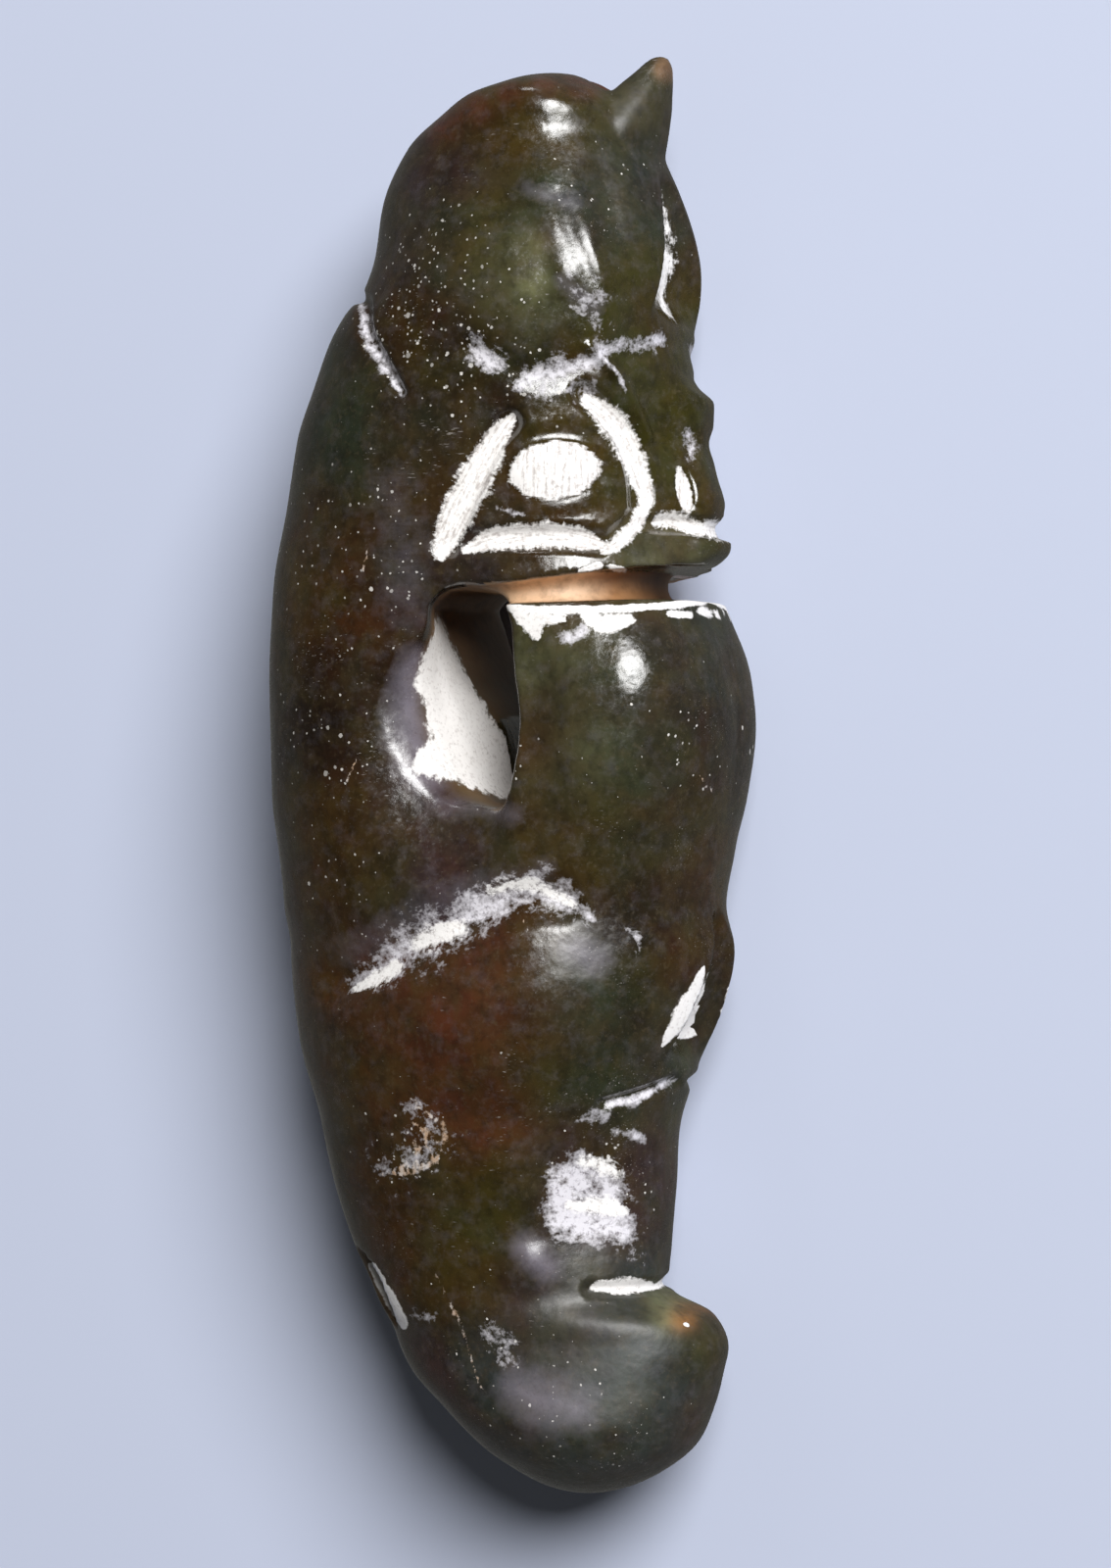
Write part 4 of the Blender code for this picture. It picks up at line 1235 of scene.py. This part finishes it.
# The finish: a deep, almost black shine with crisp lights where the polish is clean, a broken and
# softer shine where it is worn, and chalky deposits that stay pale from every side
jade = bpy.data.materials.new("polished_nephrite_jade")
jade.use_nodes = True
tree = jade.node_tree
shader = tree.nodes["Principled BSDF"]
place = tree.nodes.new("ShaderNodeTexCoord").outputs["Object"]

# %% [markdown]
# ### Fields and noises
#
# A few noises are shared by many effects: the grit of a dried deposit, its lobes, and the slow
# undulation that slow polishing leaves. Sharing them keeps the material quick to render.

# %% The fields of the points, and the noises that break them up
field = {}
for name in (*FIELDS, *VECTORS):
    stored = tree.nodes.new("ShaderNodeAttribute")
    stored.attribute_name = name
    field[name] = stored.outputs["Fac" if name in FIELDS else "Vector"]
NOISES = {
    # size in mm, detail and roughness
    "fine": (0.25, 2.0, 0.5),
    "grit": (0.30, 4.0, 0.7),
    "lobes": (1.1, 3.0, 0.65),
    "undulation": (3.0, 3.0, 0.5),
    "cluster": (5.0, 2.0, 0.5),
}
noise = {}
for name, (size, detail, roughness) in NOISES.items():
    noise[name] = add(tree, "TexNoise", {"Vector": place, "Scale": per(size), "Detail": detail,
                                         "Roughness": roughness})
print(len(field), "fields and", len(noise), "noises")

# %% [markdown]
# ### Clouds
#
# Under the polish the stone is a felt of fibres in clouds of many sizes. Seven layers of noise,
# from 7 mm down to a third of a millimetre, each lay a hue over the last where their noise is
# high.

# %% The clouds in the stone
CLOUDS = (
    # size in mm, from and to which level it shows, how much, colour
    (7.0, 0.42, 0.68, 0.50, "#40200c"),
    (5.0, 0.45, 0.70, 0.45, "#3d370c"),
    (4.0, 0.46, 0.70, 0.40, "#2f3626"),
    (2.6, 0.44, 0.68, 0.42, "#0e0905"),
    (1.3, 0.50, 0.72, 0.35, "#453922"),
    (0.7, 0.48, 0.70, 0.38, "#0b0804"),
    (0.35, 0.56, 0.75, 0.30, "#5a4f3c"),
)
colour = field["ground"]
for turn, (size, low, high, share, hue) in enumerate(CLOUDS):
    cloud = add(tree, "TexNoise", {"Vector": place, "W": 7.3 * turn, "Scale": per(size),
                                   "Detail": 3.0, "Roughness": 0.55, "Distortion": 0.2},
                noise_dimensions="4D")
    shown = add(tree, "MapRange", {0: cloud, 1: low, 2: high, 3: 0.0, 4: share})
    colour = add(tree, "Mix", {0: shown, 6: colour, 7: (*linear(hue), 1)}, data_type="RGBA")
print(len(CLOUDS), "layers of clouds")

# %% [markdown]
# ### Scuffs
#
# Centuries of wear leave short pale strokes in clusters. A noise stretched a long way in one
# direction draws strokes, and a slow noise decides where they crowd.

# %% Scuffs: short straight strokes that come in clusters
SCUFFS = (
    # turn in degrees, length and width in mm
    (35, 1.0, 0.14),
    (-55, 0.8, 0.12),
)
crowded = add(tree, "MapRange", {0: noise["cluster"], 1: 0.45, 2: 0.65, 3: -0.10, 4: 0.03})
scuffs = 0.0
for turn, length, width in SCUFFS:
    strokes = add(tree, "Mapping", {"Vector": place, "Rotation": (0, 0, math.radians(turn)),
                                    "Scale": (per(length), per(width), per(width))})
    strokes = add(tree, "TexNoise", {"Vector": strokes, "Scale": 1.0, "Detail": 2.0})
    strokes = add(tree, "Math", {0: strokes, 1: crowded}, operation="ADD")
    strokes = add(tree, "MapRange", {0: strokes, 1: 0.70, 2: 0.80, 3: 0.0, 4: 0.6})
    scuffs = add(tree, "Math", {0: scuffs, 1: strokes}, operation="MAXIMUM")
colour = add(tree, "Mix", {0: scuffs, 6: colour, 7: (*linear("#a8a19c"), 1)}, data_type="RGBA")
print("scuffs run in", len(SCUFFS), "directions")

# %% [markdown]
# ### Specks
#
# Pale grains sit in the stone's pores, most of them tiny and a few as large as a pinhead. Each cell
# of a Voronoi texture has one grain at its middle, and a random colour that serves as its luck: it
# decides whether the grain is there, how large it is and how bright.

# %% Specks: round grains, most of them tiny, where the dust field lets them be
SPECKS = (
    # size of a cell in mm, radius of the greatest speck in cells, soft edge, times the dust
    (0.32, 0.30, 0.08, 0.70),
    (0.55, 0.27, 0.06, 0.60),
    (1.20, 0.18, 0.03, 0.60),
)
ragged = add(tree, "VectorMath", {0: noise["fine"].node.outputs["Color"], 1: (0.16 * MM,) * 3,
                                  2: place}, operation="MULTIPLY_ADD")
specks = 0.0
for size, greatest, edge, times in SPECKS:
    gap = add(tree, "TexVoronoi", {"Vector": ragged, "Scale": per(size)})
    luck = add(tree, "SeparateColor", {0: gap.node.outputs["Color"]})
    share = add(tree, "Math", {0: field["dust"], 1: times}, operation="MULTIPLY")
    lucky = add(tree, "Math", {0: share, 1: luck}, operation="SUBTRACT")
    radius = add(tree, "MapRange", {0: lucky, 1: 0.0, 2: 0.12, 3: -edge, 4: greatest})
    inner = add(tree, "Math", {0: radius, 1: gap}, operation="SUBTRACT")
    bright = add(tree, "MapRange", {0: luck.node.outputs["Green"], 3: 0.35, 4: 0.95})
    shown = add(tree, "MapRange", {0: inner, 1: 0.0, 2: edge, 3: 0.0, 4: bright})
    specks = add(tree, "Math", {0: specks, 1: shown}, operation="MAXIMUM")
colour = add(tree, "Mix", {0: specks, 6: colour, 7: (*linear("#d6d2cc"), 1)}, data_type="RGBA")
print("specks come in", len(SPECKS), "sizes")

# %% [markdown]
# ### Deposits and painted highlights
#
# The deposits come in three layers: a thin veil, a broken frost and a solid cream. The veil also
# carries painted sheen, the frost a painted glint along the brow's ridge, and the cream painted
# highlights beside the snout and on the lip of the saw cut. Each is its soft field, broken by grit,
# by lobes and by hairs or ribs, and then cut off at a level. The cut makes the ragged edge. On the
# face the ribs run along the hollow, as the carver's tool did.

# %% Deposits, and the highlights painted with them
on_face = add(tree, "SeparateXYZ", {0: field["flow"]}).node.outputs["Z"]
STRETCHES = {
    # how often the noise changes in a mm along the route and across it
    "hairs": (4.5, 0.7, 0.0),
    "ribs": (0.5, 4.5, 0.0),
    "grain": (0.9, 2.4, 0.0),
}
run = {}
for name, stretch in STRETCHES.items():
    stretched = add(tree, "Mapping", {"Vector": field["flow"], "Scale": stretch})
    stretched = add(tree, "TexNoise", {"Vector": stretched, "Scale": 1.0, "Detail": 3.0})
    run[name] = add(tree, "Math", {0: stretched, 1: 0.5}, operation="SUBTRACT")
torn = add(tree, "Mix", {0: on_face, 2: run["grain"], 3: run["hairs"]})
body = add(tree, "Mix", {0: on_face, 2: 0.06, 3: run["ribs"]})
body = add(tree, "Math", {0: body, 1: noise["grit"]}, operation="ADD")
body = add(tree, "MapRange", {0: body, 1: 0.30, 2: 0.54})
LAYERS = (
    # name, share of the grit, the lobes and the run, start, soft edge, how much it hides, tones
    ("veil_and_sheen", 0.0, 0.4, 0.0, 0.00, 0.90, 0.50, "#a8a1b0", "#8d8490"),
    ("frost_and_glint", 0.9, 1.7, 0.6, 0.06, 0.60, 0.92, "#dedbe1", "#837c87"),
    ("cream_and_highlight", 0.6, 0.8, 0.7, 0.00, 0.25, 0.97, "#f1eeeb", "#bdb6b2"),
)
masks = {}
for name, grit_share, lobe_share, run_share, start, edge, hides, pale, deep in LAYERS:
    broken = field[name]
    for part, share in (("grit", grit_share), ("lobes", lobe_share)):
        centred = add(tree, "Math", {0: noise[part], 1: 0.5}, operation="SUBTRACT")
        broken = add(tree, "Math", {0: centred, 1: share, 2: broken}, operation="MULTIPLY_ADD")
    broken = add(tree, "Math", {0: torn, 1: run_share, 2: broken}, operation="MULTIPLY_ADD")
    mask = add(tree, "MapRange", {0: broken, 1: start, 2: start + edge, 3: 0.0, 4: hides})
    tint = add(tree, "Mix", {0: body, 6: (*linear(deep), 1), 7: (*linear(pale), 1)},
               data_type="RGBA")
    colour = add(tree, "Mix", {0: mask, 6: colour, 7: tint}, data_type="RGBA")
    masks[name] = mask
print("deposits come as", [*masks])

# %% [markdown]
# ### Bare stone
#
# The sawn web under the jaw has kept its fresh tan, which runs into a painted shade towards its far
# end, where the web curves back under the jaw. The walls of the bores are a duller olive brown,
# painted lighter towards the top of the coil's eye as painted light on the upper wall. Colour ramps
# along the drawing give both.

# %% Bare stone in the saw cut and the bores
across = add(tree, "SeparateXYZ", {0: field["drawing"]})
RAMPS = (
    # what it runs along, start and end in mm, hues, and where each hue stands
    # The web's tan, darkening into a painted shade at its far end
    (across, -1.5, 10.8, ("#a8845e", "#d9b590", "#e0bf9e", "#a3764c", "#3a2002"),
     (0.0, 0.12, 0.5, 0.72, 1.0)),
    # The bores' olive brown, lighter towards the top of the coil's eye: painted light
    (across.node.outputs["Y"], 48.0, 62.0, ("#5a462c", "#54432c", "#94704c"), (0.0, 0.6, 1.0)),
)
tones = []
for along, start, end, hues, stops in RAMPS:
    along = add(tree, "MapRange", {0: along, 1: start, 2: end})
    ramp = tree.nodes.new("ShaderNodeValToRGB")
    tree.links.new(along, ramp.inputs[0])
    for stop in stops[1:-1]:
        ramp.color_ramp.elements.new(stop)
    for element, hue in zip(ramp.color_ramp.elements, hues):
        element.color = (*linear(hue), 1)
    stain = add(tree, "MapRange", {0: noise["lobes"], 1: 0.45, 2: 0.70, 3: 0.0, 4: 0.45})
    tones.append(add(tree, "Mix", {0: stain, 6: ramp.outputs["Color"],
                                   7: (*linear("#5a3818"), 1)}, data_type="RGBA"))
neither_cream_nor_highlight = add(tree, "Math", {0: 1.0, 1: masks["cream_and_highlight"]}, operation="SUBTRACT")
bare = add(tree, "Math", {0: field["drilled"], 1: neither_cream_nor_highlight}, operation="MULTIPLY")
for mask, tone in ((bare, tones[1]), (field["raw"], tones[0])):
    colour = add(tree, "Mix", {0: mask, 6: colour, 7: tone}, data_type="RGBA")
print(len(RAMPS), "ramps of bare stone")

# %% [markdown]
# ### Scratches
#
# A few deep scratches have filled with peach-coloured earth. They follow thin routes on the
# drawing, and the grit breaks them into dashes.

# %% Scratches
scratched = add(tree, "Math", {0: noise["grit"], 1: 2.2, 2: field["scratch"]},
                operation="MULTIPLY_ADD")
scratched = add(tree, "MapRange", {0: scratched, 1: 1.22, 2: 1.70, 3: 0.0, 4: 0.85})
peach = add(tree, "MapRange", {0: noise["lobes"], 1: 0.40, 2: 0.60})
peach = add(tree, "Mix", {0: peach, 6: (*linear("#bfa084"), 1), 7: (*linear("#d8cfc8"), 1)},
            data_type="RGBA")
colour = add(tree, "Mix", {0: scratched, 6: colour, 7: peach}, data_type="RGBA")
print(len(SCRATCHES), "scratches are filled")

# %% [markdown]
# ### Gloss and grain
#
# Clean jade is glossy, and everything that lies on it is dull, so each mask pulls the roughness up
# by its own share. A shallow relief lets the highlights waver, as they do on old stone.

# %% Gloss and grain
worn = add(tree, "MapRange", {0: noise["fine"], 1: 0.50, 2: 0.75, 3: 0.0, 4: 0.15})
rough = add(tree, "MapRange", {0: noise["lobes"], 1: 0.35, 2: 0.65, 3: 0.13, 4: 0.22})
rough = add(tree, "Math", {0: rough, 1: worn}, operation="ADD")
# Masks, and the roughness that each pulls towards
WORN = ((field["dull"], 0.55), (scuffs, 0.55), (specks, 0.55), (masks["veil_and_sheen"], 0.40),
        (masks["frost_and_glint"], 0.6), (masks["cream_and_highlight"], 0.85), (bare, 0.6), (field["raw"], 0.6),
        (scratched, 0.6))
for mask, target in WORN:
    rough = add(tree, "Mix", {0: mask, 2: rough, 3: target})
# Heights, and their thickness in mm
relief = 0.0
for height, thickness in ((noise["undulation"], 0.14), (noise["grit"], 0.010),
                          (masks["cream_and_highlight"], 0.02), (masks["frost_and_glint"], 0.01)):
    relief = add(tree, "Math", {0: height, 1: thickness, 2: relief}, operation="MULTIPLY_ADD")
bump = add(tree, "Bump", {"Height": relief, "Strength": 1.0, "Distance": MM})
tree.links.new(colour, shader.inputs["Base Color"])
tree.links.new(rough, shader.inputs["Roughness"])
tree.links.new(bump, shader.inputs["Normal"])
# Nephrite bends light by 1.61 to 1.63
shader.inputs["IOR"].default_value = 1.62
stone.data.materials.clear()
stone.data.materials.append(jade)
print("jade made of", len(tree.nodes), "nodes")

# %% [markdown]
# ## Floor, light and camera
#
# The amulet lies on a sheet of plain pale paper, which shows its outline and a soft shadow. The
# paper is kept out of mirror reflections, so that the glossy sides of the stone stay dark.

# %% The floor
floor_shape = bmesh.new()
bmesh.ops.create_grid(floor_shape, x_segments=1, y_segments=1, size=1.5)
floor_plane = object_from("floor", floor_shape)
# Uncoated paper: a cool, even pale grey with hardly any sheen
paper = bpy.data.materials.new("matt_paper")
paper.use_nodes = True
sheet = paper.node_tree.nodes["Principled BSDF"].inputs
sheet["Base Color"].default_value = (*linear("#bec5d9"), 1)
sheet["Roughness"].default_value = 0.9
sheet["Specular IOR Level"].default_value = 0.2
floor_plane.data.materials.append(paper)
floor_plane.visible_glossy = False
print("the floor is", round(floor_plane.dimensions.x, 1), "m wide")

# %% [markdown]
# ### Lamps
#
# A polished stone lives by the mirror image of its lamp. One large round lamp stands up to the
# right and gives the crisp white highlights, and its size sets theirs. A small one from above
# draws a thin light along the crest. The sky fades from its horizon upwards, so that it lights the
# pale deposits without greying the dark stone.

# %% The lamps
LAMP_DISTANCE = 1.2
LAMP_AIM = Vector((0, 0, 0.011))


def lamp(name, azimuth, elevation, width, height, power):
    """A round lamp that faces the stone, turned from +Z to +X and raised towards +Y.

    Angles are in degrees, sizes in metres and the power in watts.
    """
    a, e = math.radians(azimuth), math.radians(elevation)
    way = Vector((math.sin(a) * math.cos(e), math.sin(e), math.cos(a) * math.cos(e)))
    data = bpy.data.lights.new(name, "AREA")
    data.shape = "ELLIPSE"
    data.size = width
    data.size_y = height
    data.energy = power
    made = bpy.data.objects.new(name, data)
    made.location = LAMP_AIM + way * LAMP_DISTANCE
    made.rotation_mode = "QUATERNION"
    made.rotation_quaternion = way.to_track_quat("Z", "Y")
    bpy.context.scene.collection.objects.link(made)


lamp("key_lamp", 33, 25, 0.60, 0.72, 21.6)
lamp("top_lamp", -10, 74, 0.16, 0.16, 0.80)

world = bpy.data.worlds.new("studio")
bpy.context.scene.world = world
world.use_nodes = True
sky = world.node_tree
way = sky.nodes.new("ShaderNodeTexCoord").outputs["Generated"]
height = add(sky, "SeparateXYZ", {0: way}).node.outputs["Z"]
# From 0.17 at the horizon to 0.06 from about 27 degrees up
dim = add(sky, "MapRange", {0: height, 1: 0.05, 2: 0.45, 3: 0.17, 4: 0.06})
sky.nodes["Background"].inputs["Color"].default_value = (*linear("#eeeeea"), 1)
sky.links.new(dim, sky.nodes["Background"].inputs["Strength"])
bpy.context.scene.view_settings.view_transform = "Standard"
print("lamps:", [light.name for light in bpy.data.lights])

# %% [markdown]
# ### The camera
#
# The camera looks down on the stone and a little from the front, from the same side and distance
# as the drawing. Its lens is worked out from the height that the picture spans at the stone.

# %% The camera
CAMERA_DISTANCE = SIGHT_DISTANCE * MM
PICTURE_HEIGHT = 109.914 * MM
back = Vector((math.sin(SIGHT_TURN), 0, math.cos(SIGHT_TURN)))
right = Vector((math.cos(SIGHT_TURN), 0, -math.sin(SIGHT_TURN)))
target = Vector(laid) + right * SIGHT_MIDDLE[0] * MM + Vector((0, SIGHT_MIDDLE[1] * MM, 0))
eye = target + back * CAMERA_DISTANCE
camera = bpy.data.objects.new("camera", bpy.data.cameras.new("camera"))
camera.data.lens = camera.data.sensor_width * CAMERA_DISTANCE / PICTURE_HEIGHT
camera.data.clip_start = 0.01
camera.matrix_world = Matrix((
    (right.x, 0, back.x, eye.x),
    (right.y, 1, back.y, eye.y),
    (right.z, 0, back.z, eye.z),
    (0, 0, 0, 1),
))
bpy.context.scene.collection.objects.link(camera)
bpy.context.scene.camera = camera
print("the camera is", round(CAMERA_DISTANCE, 3), "m away")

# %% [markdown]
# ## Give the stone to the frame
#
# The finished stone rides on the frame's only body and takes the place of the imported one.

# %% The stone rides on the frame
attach(stone, "root")
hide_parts("pig_dragon_amulet")
